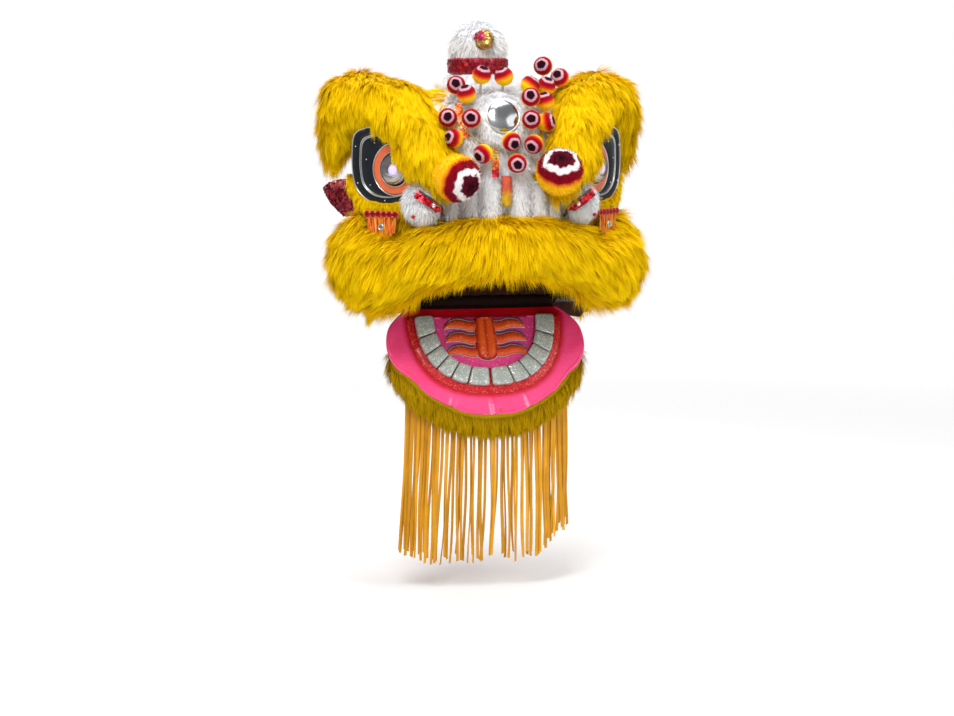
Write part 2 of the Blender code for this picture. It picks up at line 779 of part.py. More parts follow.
# Where the brow's bend is centred, below and outside the eye, as shares of the eye's width and height
BROW_BEND = (0.20, -0.45)
brows = {}
for side_name, side in SIDES.items():
    stations = [(side * x, y, z, across, up) for x, y, z, across, up in BROW_STATIONS]
    brows[side_name] = fit_against(
        cut_by_core(roll("brow_" + side_name, stations, BROW_RADIUS,
                         eye_point(side, BROW_BEND[0] * EYE_WIDTH, BROW_BEND[1] * EYE_HEIGHT, 0),
                         eye_point(side, 0, 0, 1) - eye_point(side, 0, 0, 0), 12, 9, YELLOW_FUR),
                    "MANIFOLD"),
        [eye_sockets[side_name], eye_irises[side_name], eye_balls[side_name], lids[side_name],
         nose, nostrils[side_name], mirror_boss, horn_foot]
        + [ball for ball in pompoms if side * sum((v.co.x for v in ball.data.vertices)) > 0],
        "MANIFOLD")


# Upper lip: one fur roll from cheek to cheek, fullest at its ends
LIP_STATIONS = [
    # x, y, z, across, up
    (0.000, -1.130, 0.177, 0.97, 0.99),
    (0.383, -1.063, 0.148, 1.00, 1.03),
    (0.610, -0.927, 0.097, 1.03, 1.10),
    (0.790, -0.770, 0.030, 1.06, 1.18),
    (0.920, -0.595, 0.027, 1.10, 1.35),
    (1.048, -0.360, 0.080, 1.15, 1.54),
    (1.080, -0.090, 0.094, 0.95, 1.25),
    (1.056, 0.146, 0.120, 0.50, 0.65),
]
lip_stations = [(-x, y, z, across, up) for x, y, z, across, up in reversed(LIP_STATIONS[1:])]
lip_stations += LIP_STATIONS
lip_roll = fit_against(
    cut_by_core(roll("lip_roll", lip_stations, LIP_RADIUS, Vector(), UP, 20, 10, YELLOW_FUR)),
    [nose] + list(nostrils.values()) + list(lids.values()) + list(eye_sockets.values()))


# Combs: a header band along a curve with flat strips hanging from every second length of it
def comb(name, tops, thickness, drops, header, sway, mat):
    """Tops run along the header's upper edge; thickness is the vector from front to back."""
    verts, faces = [], []
    for point in tops:
        for depth in (Vector(), thickness):
            verts.append(point + depth)
            verts.append(point + depth - UP * header)
    last = len(tops) - 1
    for k in range(last):
        a, b = 4 * k, 4 * (k + 1)
        faces += [(a, b, b + 1, a + 1), (a + 2, a + 3, b + 3, b + 2), (a, a + 2, b + 2, b)]
        corners = (a + 1, b + 1, b + 3, a + 3)
        if k % 2:
            faces.append(corners)
            continue
        start = len(verts)
        verts += [verts[corner] + RIGHT * sway * (2 * k / last - 1) - UP * drops[k] for corner in corners]
        faces += [(corners[i], corners[(i + 1) % 4], start + (i + 1) % 4, start + i) for i in range(4)]
        faces.append(tuple(range(start, start + 4)))
    faces += [(0, 1, 3, 2), (4 * last, 4 * last + 2, 4 * last + 3, 4 * last + 1)]
    return solid(name, verts, faces, mat)


# Lid fringes: a scalloped band under each eye with short strips
LID_FRINGE_PLACE = (0.24, -1.19)
lid_fringes = {}
for side_name, side in SIDES.items():
    count = 2 * LID_FRINGE_STRIPS - 1
    out, up = LID_FRINGE_PLACE
    tops = [eye_point(side, out * EYE_WIDTH + LID_FRINGE_WIDTH * (k / count - 0.5), up * EYE_HEIGHT,
                      LID_FRINGE_FORWARD)
            for k in range(count + 1)]
    into = eye_point(side, 0, 0, -FRINGE_STRIP_THICKNESS) - eye_point(side, 0, 0, 0)
    lid_fringes[side_name] = fit_against(comb(
        "lid_fringe_" + side_name, tops, into, [LID_FRINGE_LENGTH] * count, LID_FRINGE_HEADER, 0.0,
        AMBER_FRINGE), [lids[side_name], lip_roll, nostrils[side_name]])


# Ears: leaf-shaped, fixed behind the cheeks and pointing back
EAR_ROWS = [
    # along, half width share, half thickness share
    (0.00, 0.30, 0.9),
    (0.20, 0.42, 1.0),
    (0.45, 0.50, 1.0),
    (0.75, 0.34, 0.8),
    (0.95, 0.12, 0.5),
    (1.00, 0.03, 0.3),
]
EAR_BASE = (0.93, 0.20, 0.36)
EAR_DIRECTION = Vector((0.46, 0.86, 0.22)).normalized()
for side_name, side in SIDES.items():
    base = Vector((EAR_BASE[0] * HEAD_HALF_WIDTH, EAR_BASE[1] * HEAD_BACK, EAR_BASE[2] * HEAD_CROWN))
    flat = EAR_DIRECTION.cross(UP).normalized()
    width_way = flat.cross(EAR_DIRECTION).normalized()
    rings = []
    for along, half_width, half_thick in EAR_ROWS:
        middle = base + EAR_DIRECTION * along * EAR_LENGTH
        ring = []
        for i in range(10):
            angle = math.tau * i / 10
            ring.append(mirrored(side, middle
                                 + width_way * EAR_WIDTH * half_width * math.cos(angle)
                                 + flat * EAR_THICKNESS * 0.5 * half_thick * math.sin(angle)))
        rings.append(ring)
    fit_against(cut_by_core(loft("ear_" + side_name, rings, MAROON_SEQUIN)), [lip_roll])


# Jaw frame: x across, length down the slope from the hinge, height off the plate's face
jaw_hinge = bpy.data.objects.new("jaw_hinge", None)
bpy.context.scene.collection.objects.link(jaw_hinge)
jaw_hinge.location = (0, -JAW_HINGE_BACK, -JAW_HINGE_DROP)
JAW_AHEAD = Vector((0, -math.cos(JAW_DROOP), -math.sin(JAW_DROOP)))
JAW_NORMAL = Vector((0, -math.sin(JAW_DROOP), math.cos(JAW_DROOP)))


def jaw_point(x, length, height):
    dish = JAW_DISH * ((x / JAW_HALF_WIDTH) ** 2 + (length / JAW_LENGTH) ** 3)
    return Vector((x, 0, 0)) + JAW_AHEAD * length + JAW_NORMAL * (height + dish)


def on_jaw(obj):
    obj.parent = jaw_hinge
    return obj


def jaw_plate(name, rows, low, high, columns, mat):
    """A plate between two heights; rows give length along the jaw and half width."""
    rings = []
    for length, half in rows:
        top = [jaw_point(half * (2 * i / columns - 1), length, high) for i in range(columns + 1)]
        bottom = [jaw_point(half * (1 - 2 * i / columns), length, low) for i in range(columns + 1)]
        rings.append(top + bottom)
    count = 2 * (columns + 1)
    verts = [point for ring in rings for point in ring]
    faces = []
    for k in range(len(rings) - 1):
        for i in range(count):
            j = (i + 1) % count
            faces.append((k * count + i, k * count + j, (k + 1) * count + j, (k + 1) * count + i))
    for k in (0, len(rings) - 1):
        for i in range(columns):
            far = k * count + count - 1 - i
            faces.append((k * count + i, k * count + i + 1, far - 1, far))
    return on_jaw(solid(name, verts, faces, mat))


JAW_ROWS = [
    # length, half width
    (0.075, 0.76),
    (0.14, 0.86),
    (0.24, 0.965),
    (0.36, 1.00),
    (0.47, 0.985),
    (0.57, 0.92),
    (0.64, 0.825),
    (0.70, 0.765),
    (0.78, 0.68),
    (0.86, 0.55),
    (0.93, 0.40),
    (0.975, 0.25),
    (1.00, 0.09),
]
board = jaw_plate("jaw_board", [(l * JAW_LENGTH, w * JAW_HALF_WIDTH) for l, w in JAW_ROWS],
                  -JAW_THICKNESS, 0.0, 5, PINK_VINYL)
UNCUT_FORMS["jaw_board"] = board.data.copy()
bpy.context.view_layer.update()


def tube(name, inner, outer, half_length, sides, mat):
    """A tube along x about the hinge."""
    verts, faces = [], []
    corners = ((-half_length, outer), (half_length, outer), (half_length, inner), (-half_length, inner))
    for x, radius in corners:
        for i in range(sides):
            angle = math.tau * (i + 0.5) / sides
            verts.append(Vector((x, radius * math.cos(angle), radius * math.sin(angle))))
    for k in range(4):
        for i in range(sides):
            j = (i + 1) % sides
            faces.append((k * sides + i, k * sides + j, (k + 1) % 4 * sides + j, (k + 1) % 4 * sides + i))
    return solid(name, verts, faces, mat)


SLEEVE_INNER = (JAW_ROD_RADIUS + GAP) / math.cos(math.pi / 16)
SLEEVE_HALF_LENGTH = JAW_ROWS[0][1] * JAW_HALF_WIDTH
SLEEVE_OUTER = SLEEVE_INNER + SLEEVE_WALL
sleeve = tube("sleeve", SLEEVE_INNER, SLEEVE_OUTER, SLEEVE_HALF_LENGTH, 16, PINK_VINYL)
NECK_HALF_LENGTH = SLEEVE_HALF_LENGTH * 0.96
NECK_START = JAW_ROD_RADIUS + GAP + 0.5 * SLEEVE_WALL
neck = jaw_plate("neck", [(NECK_START, NECK_HALF_LENGTH), (JAW_ROWS[1][0] * JAW_LENGTH, NECK_HALF_LENGTH)],
                 -0.8 * JAW_THICKNESS, -0.2 * JAW_THICKNESS, 5, PINK_VINYL)
sleeve.parent = jaw_hinge
for part in (neck, sleeve):
    boolean(board, part, "UNION")
    bpy.data.objects.remove(part, do_unlink=True)


# Gum, teeth and palate follow one arch
ARCH_POWER = 0.8


def arch(half_width, depth, turn):
    across, along = math.sin(turn), math.cos(turn)
    return (math.copysign(abs(across) ** ARCH_POWER, across) * half_width,
            ARCH_START + depth * abs(along) ** ARCH_POWER)


def arch_band(name, inner, outer, turns, low, highs, mat):
    """A band round the arch; inner and outer hold half width and depth, highs a height for each turn."""
    rings = []
    for turn, high in zip(turns, highs):
        inside, outside = arch(*inner, turn), arch(*outer, turn)
        rings.append([jaw_point(*inside, low), jaw_point(*outside, low),
                      jaw_point(*outside, high), jaw_point(*inside, high)])
    return on_jaw(loft(name, rings, mat))


HALF_TURN = math.radians(89)
inner_arch = (TEETH_HALF_WIDTH - TOOTH_LENGTH, TEETH_DEPTH - TOOTH_LENGTH)
outer_arch = (TEETH_HALF_WIDTH, TEETH_DEPTH)
gum_arch = (TEETH_HALF_WIDTH + GUM_BAND, TEETH_DEPTH + GUM_BAND)
even_turns = [HALF_TURN * (2 * k / 28 - 1) for k in range(29)]
arch_band("gum", inner_arch, gum_arch, even_turns, GAP, [GUM_THICKNESS] * 29, RED_GLITTER)

tooth_turns, tooth_heights = [], []
root_height = GUM_THICKNESS + GAP + TOOTH_ROOT
for k in range(TOOTH_COUNT):
    start = HALF_TURN * (2 * k / TOOTH_COUNT - 1)
    width = HALF_TURN * 2 / TOOTH_COUNT
    for share, high in ((0.03, root_height), (0.09, root_height + TOOTH_HEIGHT),
                        (0.91, root_height + TOOTH_HEIGHT), (0.97, root_height)):
        tooth_turns.append(start + width * share)
        tooth_heights.append(high)
arch_band("teeth", [v - GAP for v in inner_arch], outer_arch, tooth_turns, GUM_THICKNESS + GAP,
          tooth_heights, SILVER_GLITTER)

palate_half, palate_depth = (v - 2 * GAP for v in inner_arch)
palate_rows = [arch(palate_half, palate_depth, math.radians(d)) for d in (88, 74, 60, 46, 33, 21, 11, 4)]
jaw_plate("palate", [(length, half) for half, length in palate_rows], GAP, PALATE_THICKNESS, 4, PINK_VINYL)

# Tongue: a ridged leaf with three flame scrolls to each side
TONGUE_ROWS = [
    # length share, half width share, height share
    (0.00, 0.80, 0.8),
    (0.25, 0.95, 1.0),
    (0.60, 1.00, 1.0),
    (0.82, 0.86, 0.9),
    (0.95, 0.52, 0.7),
    (1.00, 0.20, 0.5),
]
tongue_low = PALATE_THICKNESS + GAP
rings = []
for along, half, high in TONGUE_ROWS:
    length = TONGUE_START + along * TONGUE_LENGTH
    width = half * TONGUE_HALF_WIDTH
    top = tongue_low + high * TONGUE_THICKNESS
    rings.append([jaw_point(x * width, length, tongue_low + share * (top - tongue_low))
                  for x, share in ((-1, 0), (1, 0), (1, 0.5), (0.55, 1), (0, 0.75), (-0.55, 1), (-1, 0.5))])
tongue = on_jaw(loft("tongue", rings, ORANGE_VINYL))
SCROLL_ROWS = [
    # out from the middle as a share of the palate's half width, length offset, half breadth
    (0.12, 0.000, 0.0070),
    (0.30, 0.002, 0.0075),
    (0.48, -0.004, 0.0065),
    (0.64, -0.003, 0.0050),
    (0.74, 0.004, 0.0020),
]
SCROLL_PLACES = (0.16, 0.47, 0.78)
bpy.context.view_layer.update()
for number in range(len(SCROLL_PLACES)):
    for side in (-1, 1):
        rings = []
        for out, shift, breadth in SCROLL_ROWS:
            x = side * out * palate_half
            length = TONGUE_START + TONGUE_LENGTH * SCROLL_PLACES[number] + shift
            rings.append([jaw_point(x, length + a * breadth, tongue_low + b * SCROLL_HEIGHT)
                          for a, b in ((-1, 0), (1, 0), (0.6, 1), (-0.6, 1))])
        scroll = on_jaw(loft("scroll", rings, ORANGE_VINYL))
        bpy.context.view_layer.update()
        boolean(tongue, scroll, "UNION")
        bpy.data.objects.remove(scroll, do_unlink=True)

# Jaw fur: a fur roll under the front edge of the board
JAW_FUR_ROWS = [
    # half width share, length share, radius share
    (0.93, 0.40, 0.45),
    (0.90, 0.56, 0.85),
    (0.77, 0.72, 1.00),
    (0.60, 0.86, 1.00),
    (0.33, 0.975, 1.00),
    (0.00, 1.015, 1.00),
]
jaw_fur_stations = [(-w, l, r) for w, l, r in JAW_FUR_ROWS]
jaw_fur_stations += [(w, l, r) for w, l, r in reversed(JAW_FUR_ROWS[:-1])]


def jaw_fur_centre(share):
    across, along, size = smooth_rows(jaw_fur_stations, share)
    return jaw_point(across * JAW_HALF_WIDTH, along * JAW_LENGTH,
                     -JAW_THICKNESS - JAW_FUR_RADIUS * 0.55), size * JAW_FUR_RADIUS


rings = []
JAW_FUR_RINGS = 14
for k in range(JAW_FUR_RINGS + 1):
    share = k / JAW_FUR_RINGS
    centre, radius = jaw_fur_centre(share)
    ahead = (jaw_fur_centre(min(share + 0.01, 1))[0] - jaw_fur_centre(max(share - 0.01, 0))[0]).normalized()
    side = ahead.cross(JAW_NORMAL).normalized()
    rings.append([centre + (side * math.cos(a) + JAW_NORMAL * math.sin(a)) * radius
                  * (1 + LOCK_RELIEF * (1 if (i + k) % 2 else -1))
                  for i, a in ((i, math.tau * i / 8) for i in range(8))])
jaw_fur = fit_against(on_jaw(loft("jaw_fur", rings, YELLOW_FUR)), [board])

# Beard: long flat strips hanging from under the jaw fur to a nearly level foot
count = 2 * BEARD_STRIPS - 1
tops, drops = [], []
for k in range(count + 1):
    centre, radius = jaw_fur_centre(BEARD_SPAN[0] + (BEARD_SPAN[1] - BEARD_SPAN[0]) * k / count)
    tops.append(centre - UP * radius * 0.75 - FORWARD * BEARD_SET_BACK)
    foot = BEARD_FOOT + BEARD_RAGGEDNESS * math.sin(2.4 * k)
    drops.append(foot + tops[-1].z - BEARD_HEADER)
beard = on_jaw(comb("beard", tops, -FORWARD * FRINGE_STRIP_THICKNESS, drops, BEARD_HEADER, BEARD_SWAY,
                    AMBER_FRINGE))
fit_against(beard, [jaw_fur, board])
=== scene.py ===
import math

import bpy
import numpy as np
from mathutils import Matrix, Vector
from mathutils.bvhtree import BVHTree
from mathutils.kdtree import KDTree


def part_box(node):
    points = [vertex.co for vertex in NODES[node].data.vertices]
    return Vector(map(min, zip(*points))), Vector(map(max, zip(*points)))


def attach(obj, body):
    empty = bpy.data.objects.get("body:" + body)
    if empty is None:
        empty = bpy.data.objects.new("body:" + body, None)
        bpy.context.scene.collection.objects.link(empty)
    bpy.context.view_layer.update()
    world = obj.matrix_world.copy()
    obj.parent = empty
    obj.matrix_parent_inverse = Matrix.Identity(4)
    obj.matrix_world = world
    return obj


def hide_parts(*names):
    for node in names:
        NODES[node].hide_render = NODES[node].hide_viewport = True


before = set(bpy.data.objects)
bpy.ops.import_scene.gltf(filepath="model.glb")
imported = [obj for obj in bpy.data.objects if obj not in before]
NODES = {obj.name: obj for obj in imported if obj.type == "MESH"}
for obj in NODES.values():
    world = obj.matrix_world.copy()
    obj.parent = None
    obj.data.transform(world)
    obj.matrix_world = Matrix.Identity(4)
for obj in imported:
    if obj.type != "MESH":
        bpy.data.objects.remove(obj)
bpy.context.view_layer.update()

# Camera: a long lens from a little to one side of the head and just above it,
# so near and far parts keep their sizes as they do in the photograph.
VIEW_TARGET = Vector((-0.006, 0.0, -0.180))
VIEW_AZIMUTH = math.radians(-13)
VIEW_ELEVATION = math.radians(6)
VIEW_DISTANCE = 6.0
VIEW_SPAN = 1.956

camera_data = bpy.data.cameras.new("camera")
camera_data.sensor_width = 36
camera_data.lens = camera_data.sensor_width * VIEW_DISTANCE / VIEW_SPAN
camera = bpy.data.objects.new("camera", camera_data)
away = Vector((math.sin(VIEW_AZIMUTH) * math.cos(VIEW_ELEVATION),
               -math.cos(VIEW_AZIMUTH) * math.cos(VIEW_ELEVATION), math.sin(VIEW_ELEVATION)))
camera.location = VIEW_TARGET + away * VIEW_DISTANCE
camera.rotation_euler = away.to_track_quat("Z", "Y").to_euler()
bpy.context.scene.collection.objects.link(camera)
bpy.context.scene.camera = camera


# Light: four broad soft panels and a pale surround, brightest from above and in front,
# which keep the fur even and leave the mouth dark. The camera sees the surround as white.
SURROUND_STRENGTH = 0.40
PANELS = [
    # name, place, size, watts
    ("panel_key", (-1.3, -2.7, 2.9), 1.8, 120),
    ("panel_fill", (2.6, -2.6, 1.3), 2.4, 38),
    ("panel_top", (0.2, -0.2, 3.3), 2.2, 85),
    ("panel_back", (-0.8, 3.4, 1.8), 2.4, 45),
]
for name, place, size, watts in PANELS:
    light = bpy.data.lights.new(name, "AREA")
    light.size = size
    light.energy = watts
    lamp = bpy.data.objects.new(name, light)
    lamp.location = place
    lamp.rotation_euler = (Vector(place) - VIEW_TARGET).to_track_quat("Z", "Y").to_euler()
    bpy.context.scene.collection.objects.link(lamp)
world = bpy.data.worlds.new("surround")
world.use_nodes = True
surround = world.node_tree.nodes["Background"]
surround.inputs["Strength"].default_value = SURROUND_STRENGTH
backdrop = world.node_tree.nodes.new("ShaderNodeBackground")
for background in (surround, backdrop):
    background.inputs["Color"].default_value = (1.0, 1.0, 1.0, 1)
light_path = world.node_tree.nodes.new("ShaderNodeLightPath")
either = world.node_tree.nodes.new("ShaderNodeMixShader")
world_output = world.node_tree.nodes["World Output"]
for source, target in ((light_path.outputs["Is Camera Ray"], either.inputs[0]),
                       (surround.outputs[0], either.inputs[1]),
                       (backdrop.outputs[0], either.inputs[2]),
                       (either.outputs[0], world_output.inputs["Surface"])):
    world.node_tree.links.new(source, target)
bpy.context.scene.world = world
bpy.context.scene.view_settings.view_transform = "Standard"


# Floor: a plain pale disc below the beard that fades into the surround at its edge.
# It opens with the tools that every later section uses: one for materials, one for meshes.
class Socket:
    """A shader socket that adds Math nodes when it is used in an expression."""

    def __init__(self, paint, socket):
        self.paint = paint
        self.socket = socket

    def __add__(self, other):
        return self.paint.math("ADD", self, other)

    def __sub__(self, other):
        return self.paint.math("SUBTRACT", self, other)

    def __rsub__(self, other):
        return self.paint.math("SUBTRACT", other, self)

    def __mul__(self, other):
        return self.paint.math("MULTIPLY", self, other)

    def __truediv__(self, other):
        return self.paint.math("DIVIDE", self, other)

    __radd__ = __add__
    __rmul__ = __mul__


class Paint:
    """A material being mixed. Fixed holds what is the same all over the surface."""

    def __init__(self, name, **fixed):
        self.material = bpy.data.materials.new(name)
        self.material.use_nodes = True
        self.tree = self.material.node_tree
        self.shader = self.tree.nodes["Principled BSDF"]
        self.feed(**fixed)

    def put(self, socket, value):
        if isinstance(value, Socket):
            self.tree.links.new(value.socket, socket)
        elif isinstance(value, tuple) and len(socket.default_value) == 4:
            socket.default_value = (*value, 1.0)
        else:
            socket.default_value = value

    def feed(self, **values):
        """Set or link the shader's sockets: Base_Color stands for Base Color."""
        for key, value in values.items():
            self.put(self.shader.inputs[key.replace("_", " ")], value)
        return self

    def node(self, kind, settings, sockets, output=0):
        made = self.tree.nodes.new("ShaderNode" + kind)
        for key, value in settings.items():
            if key == "stops":
                ramp = made.color_ramp
                while len(ramp.elements) < len(value):
                    ramp.elements.new(0.5)
                for stop, (place, colour) in zip(ramp.elements, value):
                    stop.position = place
                    stop.color = (*colour, 1.0)
            else:
                setattr(made, key, value)
        for key, value in sockets.items():
            self.put(made.inputs[key], value)
        return Socket(self, made.outputs[output])

    def math(self, operation, first, second):
        return self.node("Math", {"operation": operation}, {0: first, 1: second})

    def clamp(self, value, low=0.0, high=1.0):
        return self.node("Clamp", {}, {"Value": value, "Min": low, "Max": high})

    def mix(self, first, second, share):
        return self.node("Mix", {"data_type": "RGBA"}, {0: share, 6: first, 7: second}, 2)

    def shade(self, colour, value):
        return self.node("VectorMath", {"operation": "SCALE"}, {0: colour, "Scale": value})

    def place(self):
        return self.node("TexCoord", {}, {}, "Object")

    def along(self, axis):
        return self.node("SeparateXYZ", {}, {0: self.place()}, axis)

    def noise(self, scale, detail=3.0, rough=0.5):
        return self.node("TexNoise", {}, {"Vector": self.place(), "Scale": scale, "Detail": detail,
                                          "Roughness": rough})

    def cells(self, scale, output="Distance"):
        return self.node("TexVoronoi", {}, {"Vector": self.place(), "Scale": scale}, output)

    def value(self, name):
        return self.node("Attribute", {"attribute_name": name}, {}, "Fac")

    def bump(self, height, distance, strength=1.0):
        return self.feed(Normal=self.node("Bump", {}, {"Height": height, "Distance": distance,
                                                       "Strength": strength}))


def around_ring(count):
    """Points round a circle of radius 1."""
    turns = np.linspace(0, math.tau, count, endpoint=False)
    return np.stack([np.cos(turns), np.sin(turns)], 1)


def link_mesh(name, parts):
    """One object from parts of (points, triangles, paint, values); values are point attributes."""
    mesh = bpy.data.meshes.new(name)
    paints = []
    for _, _, paint, _ in parts:
        if paint not in paints:
            paints.append(paint)
            mesh.materials.append(paint.material)
    points = np.concatenate([p for p, _, _, _ in parts]).astype(np.float32)
    starts = np.cumsum([0] + [len(p) for p, _, _, _ in parts])
    triangles = np.concatenate([t + s for (_, t, _, _), s in zip(parts, starts)]).astype(np.int32)
    mesh.vertices.add(len(points))
    mesh.vertices.foreach_set("co", points.ravel())
    mesh.loops.add(len(triangles) * 3)
    mesh.loops.foreach_set("vertex_index", triangles.ravel())
    mesh.polygons.add(len(triangles))
    mesh.polygons.foreach_set("loop_start", np.arange(0, len(triangles) * 3, 3, dtype=np.int32))
    mesh.polygons.foreach_set("material_index", np.concatenate(
        [np.full(len(t), paints.index(paint)) for _, t, paint, _ in parts]).astype(np.int32))
    mesh.polygons.foreach_set("use_smooth", np.ones(len(triangles), bool))
    for key in sorted({key for _, _, _, values in parts for key in values}):
        layer = mesh.attributes.new(key, "FLOAT", "POINT")
        spread_out = [np.broadcast_to(values.get(key, 0.0), len(p)) for p, _, _, values in parts]
        layer.data.foreach_set("value", np.concatenate(spread_out).astype(np.float32))
    mesh.update(calc_edges=True)
    mesh.validate()
    obj = bpy.data.objects.new(name, mesh)
    bpy.context.scene.collection.objects.link(obj)
    return obj


def show(name, body, parts, nodes=()):
    """A piece that rides on a body and stands for nodes."""
    obj = link_mesh(name, parts)
    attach(obj, body)
    if nodes:
        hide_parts(*nodes)
    return obj


FLOOR_HEIGHT = -0.640
FLOOR_RADIUS = 4.0
FLOOR_CORNERS = 96
FADE_START, FADE_MARGIN = 1.0, 0.1
floor_paint = Paint("floor", Roughness=0.85)
floor_paint.feed(Base_Color=floor_paint.mix((0.955, 0.955, 0.95), (0.975, 0.975, 0.97),
                                            floor_paint.noise(6)))
floor_reach = floor_paint.node("VectorMath", {"operation": "LENGTH"}, {0: floor_paint.place()}, "Value")
floor_paint.feed(Alpha=floor_paint.clamp((FLOOR_RADIUS - FADE_MARGIN - floor_reach)
                                         / (FLOOR_RADIUS - FADE_START)))
floor_points = np.column_stack([around_ring(FLOOR_CORNERS) * FLOOR_RADIUS,
                                np.full(FLOOR_CORNERS, FLOOR_HEIGHT)])
floor_points = np.vstack([floor_points, [[0, 0, FLOOR_HEIGHT]]])
floor_faces = np.array([(i, (i + 1) % FLOOR_CORNERS, FLOOR_CORNERS) for i in range(FLOOR_CORNERS)])
link_mesh("floor", [(floor_points, floor_faces, floor_paint, {})])


# Brows: two fat padded rolls under long bright yellow fur that lies downward in soft locks,
# darker at the roots as painted shade among the strands. The fur tools that start here serve every other
# furry piece.
def unit(vectors):
    return vectors / np.maximum(np.linalg.norm(vectors, axis=-1, keepdims=True), 1e-12)


def arrays_of(mesh):
    mesh.calc_loop_triangles()
    points = np.empty(len(mesh.vertices) * 3)
    mesh.vertices.foreach_get("co", points)
    normals = np.empty(len(mesh.vertices) * 3)
    mesh.vertices.foreach_get("normal", normals)
    triangles = np.empty(len(mesh.loop_triangles) * 3, np.int32)
    mesh.loop_triangles.foreach_get("vertices", triangles)
    return points.reshape(-1, 3), triangles.reshape(-1, 3), normals.reshape(-1, 3)


def tree_of(names):
    """The triangles of the named nodes, to be searched."""
    corners, faces = [], []
    for name in names:
        points, triangles, _ = arrays_of(NODES[name].data)
        faces += (triangles + len(corners)).tolist()
        corners += points.tolist()
    return BVHTree.FromPolygons(corners, faces)


def distances(points, names):
    """How far each point lies from the nearest of the named nodes."""
    tree = tree_of(names)
    return np.array([tree.find_nearest(p)[3] for p in points.tolist()])


SEAM_GAP, SEAM_EASE = 0.002, 0.012


def skin_of(node, voxel, rounds, inset, neighbours):
    """The node's surface, smoothed, and drawn in by inset where nothing lies against it."""
    copy = bpy.data.objects.new("skin", NODES[node].data.copy())
    bpy.context.scene.collection.objects.link(copy)
    remesh = copy.modifiers.new("remesh", "REMESH")
    remesh.mode = "VOXEL"
    remesh.voxel_size = voxel
    smooth = copy.modifiers.new("smooth", "SMOOTH")
    smooth.iterations = rounds
    graph = bpy.context.evaluated_depsgraph_get()
    mesh = bpy.data.meshes.new_from_object(copy.evaluated_get(graph))
    points, triangles, normals = arrays_of(mesh)
    bpy.data.objects.remove(copy)
    clear = 1.0
    if neighbours:
        clear = np.clip((distances(points, neighbours) - SEAM_GAP) / SEAM_EASE, 0, 1)[:, None]
    return points - normals * inset * clear, triangles, normals


def scattered(surface, count, rng, keep=None):
    """Corners and corner normals of triangles picked at random, the larger ones more often."""
    points, triangles, normals = surface
    a, b, c = (points[triangles[:, i]] for i in range(3))
    area = np.linalg.norm(np.cross(b - a, c - a), axis=1)
    if keep is not None:
        area = area * keep((a + b + c) / 3)
    pick = rng.choice(len(triangles), count, p=area / area.sum())
    return points[triangles[pick]], normals[triangles[pick]]


def grow(surface, count, length, width, lift, flow, seed, paint, neighbours=(), margin=0.004,
         lock=30, pull=0.26, droop=0.30, spread=0.15, keep=None):
    """Tapered strands on a surface: they lie along flow, rise by lift and gather into locks."""
    rng = np.random.default_rng(seed)
    corners, facings = scattered(surface, count, rng, keep)
    u, v = rng.random((2, count))
    u, v = np.where(u + v > 1, 1 - u, u), np.where(u + v > 1, 1 - v, v)
    weights = np.stack([1 - u - v, u, v], 1)[:, :, None]
    roots = (corners * weights).sum(1)
    out = unit((facings * weights).sum(1))
    if neighbours:
        free = distances(roots, neighbours) > margin
        roots, out = roots[free], out[free]
    count = len(roots)
    lay = flow(roots) if callable(flow) else np.broadcast_to(np.array(flow, float), roots.shape)
    lay = unit(lay - out * (lay * out).sum(1, keepdims=True))
    centres = rng.choice(count, max(count // lock, 2), replace=False)
    tree = KDTree(len(centres))
    for number, k in enumerate(centres):
        tree.insert(roots[k], number)
    tree.balance()
    own = centres[np.array([tree.find(p)[1] for p in roots])]
    turn = rng.normal(0, spread, (count, 3))
    way = unit(lay * (1 - lift) + out * lift + 0.7 * turn + 0.6 * turn[own])
    size = length * (0.70 + 0.45 * rng.random((count, 1)))
    size = size * (0.85 + 0.3 * rng.random((count, 1)))[own]
    bend = (lay * 0.35 + np.array((0, 0, -droop))) * size
    tips = roots + way * size + bend
    towards = tips[own] - tips
    gap = np.maximum(np.linalg.norm(towards, axis=1, keepdims=True), 1e-9)
    towards *= np.minimum(1.0, 0.6 * size / gap)
    rows = np.stack([roots + way * size * t + bend * t * t + towards * pull * t ** 1.5
                     for t in (0.0, 0.5, 1.0)], 1)
    across = unit(np.cross(way, out)) + 0.45 * rng.normal(0, 1, (count, 3))
    across = unit(across) * width / 2 * (0.7 + 0.6 * rng.random((count, 1)))
    verts = np.stack([rows[:, 0] - across, rows[:, 0] + across, rows[:, 1] - across * 0.8,
                      rows[:, 1] + across * 0.8, rows[:, 2]], 1)
    pattern = np.array([(0, 1, 3), (0, 3, 2), (2, 3, 4)])
    faces = (pattern[None] + 5 * np.arange(count)[:, None, None]).reshape(-1, 3)
    tint = 0.5 * rng.random(count) + 0.5 * rng.random(count)[own]
    return (verts.reshape(-1, 3), faces, paint,
            {"along": np.tile((0.0, 0.0, 0.5, 0.5, 1.0), count), "tint": np.repeat(tint, 5)})


def fur_paint(name, root, tip, rough=0.68, sheen=0.0, gloss=0.06):
    """Fur that runs from a darker root colour, painted shade among the strands, to the tip colour, each lock
    a little lighter or darker.
    """
    paint = Paint(name, Roughness=rough, Sheen_Weight=sheen, Sheen_Roughness=0.4,
                  Specular_IOR_Level=gloss)
    # Painted shade: each strand darkens from its tip to its root.
    colour = paint.mix(root, tip, paint.clamp(paint.value("along") * 1.25))
    depth = 0.90 + 0.16 * paint.value("tint") + 0.16 * (paint.noise(22, 2) - 0.5)
    return paint.feed(Base_Color=paint.shade(colour, depth))


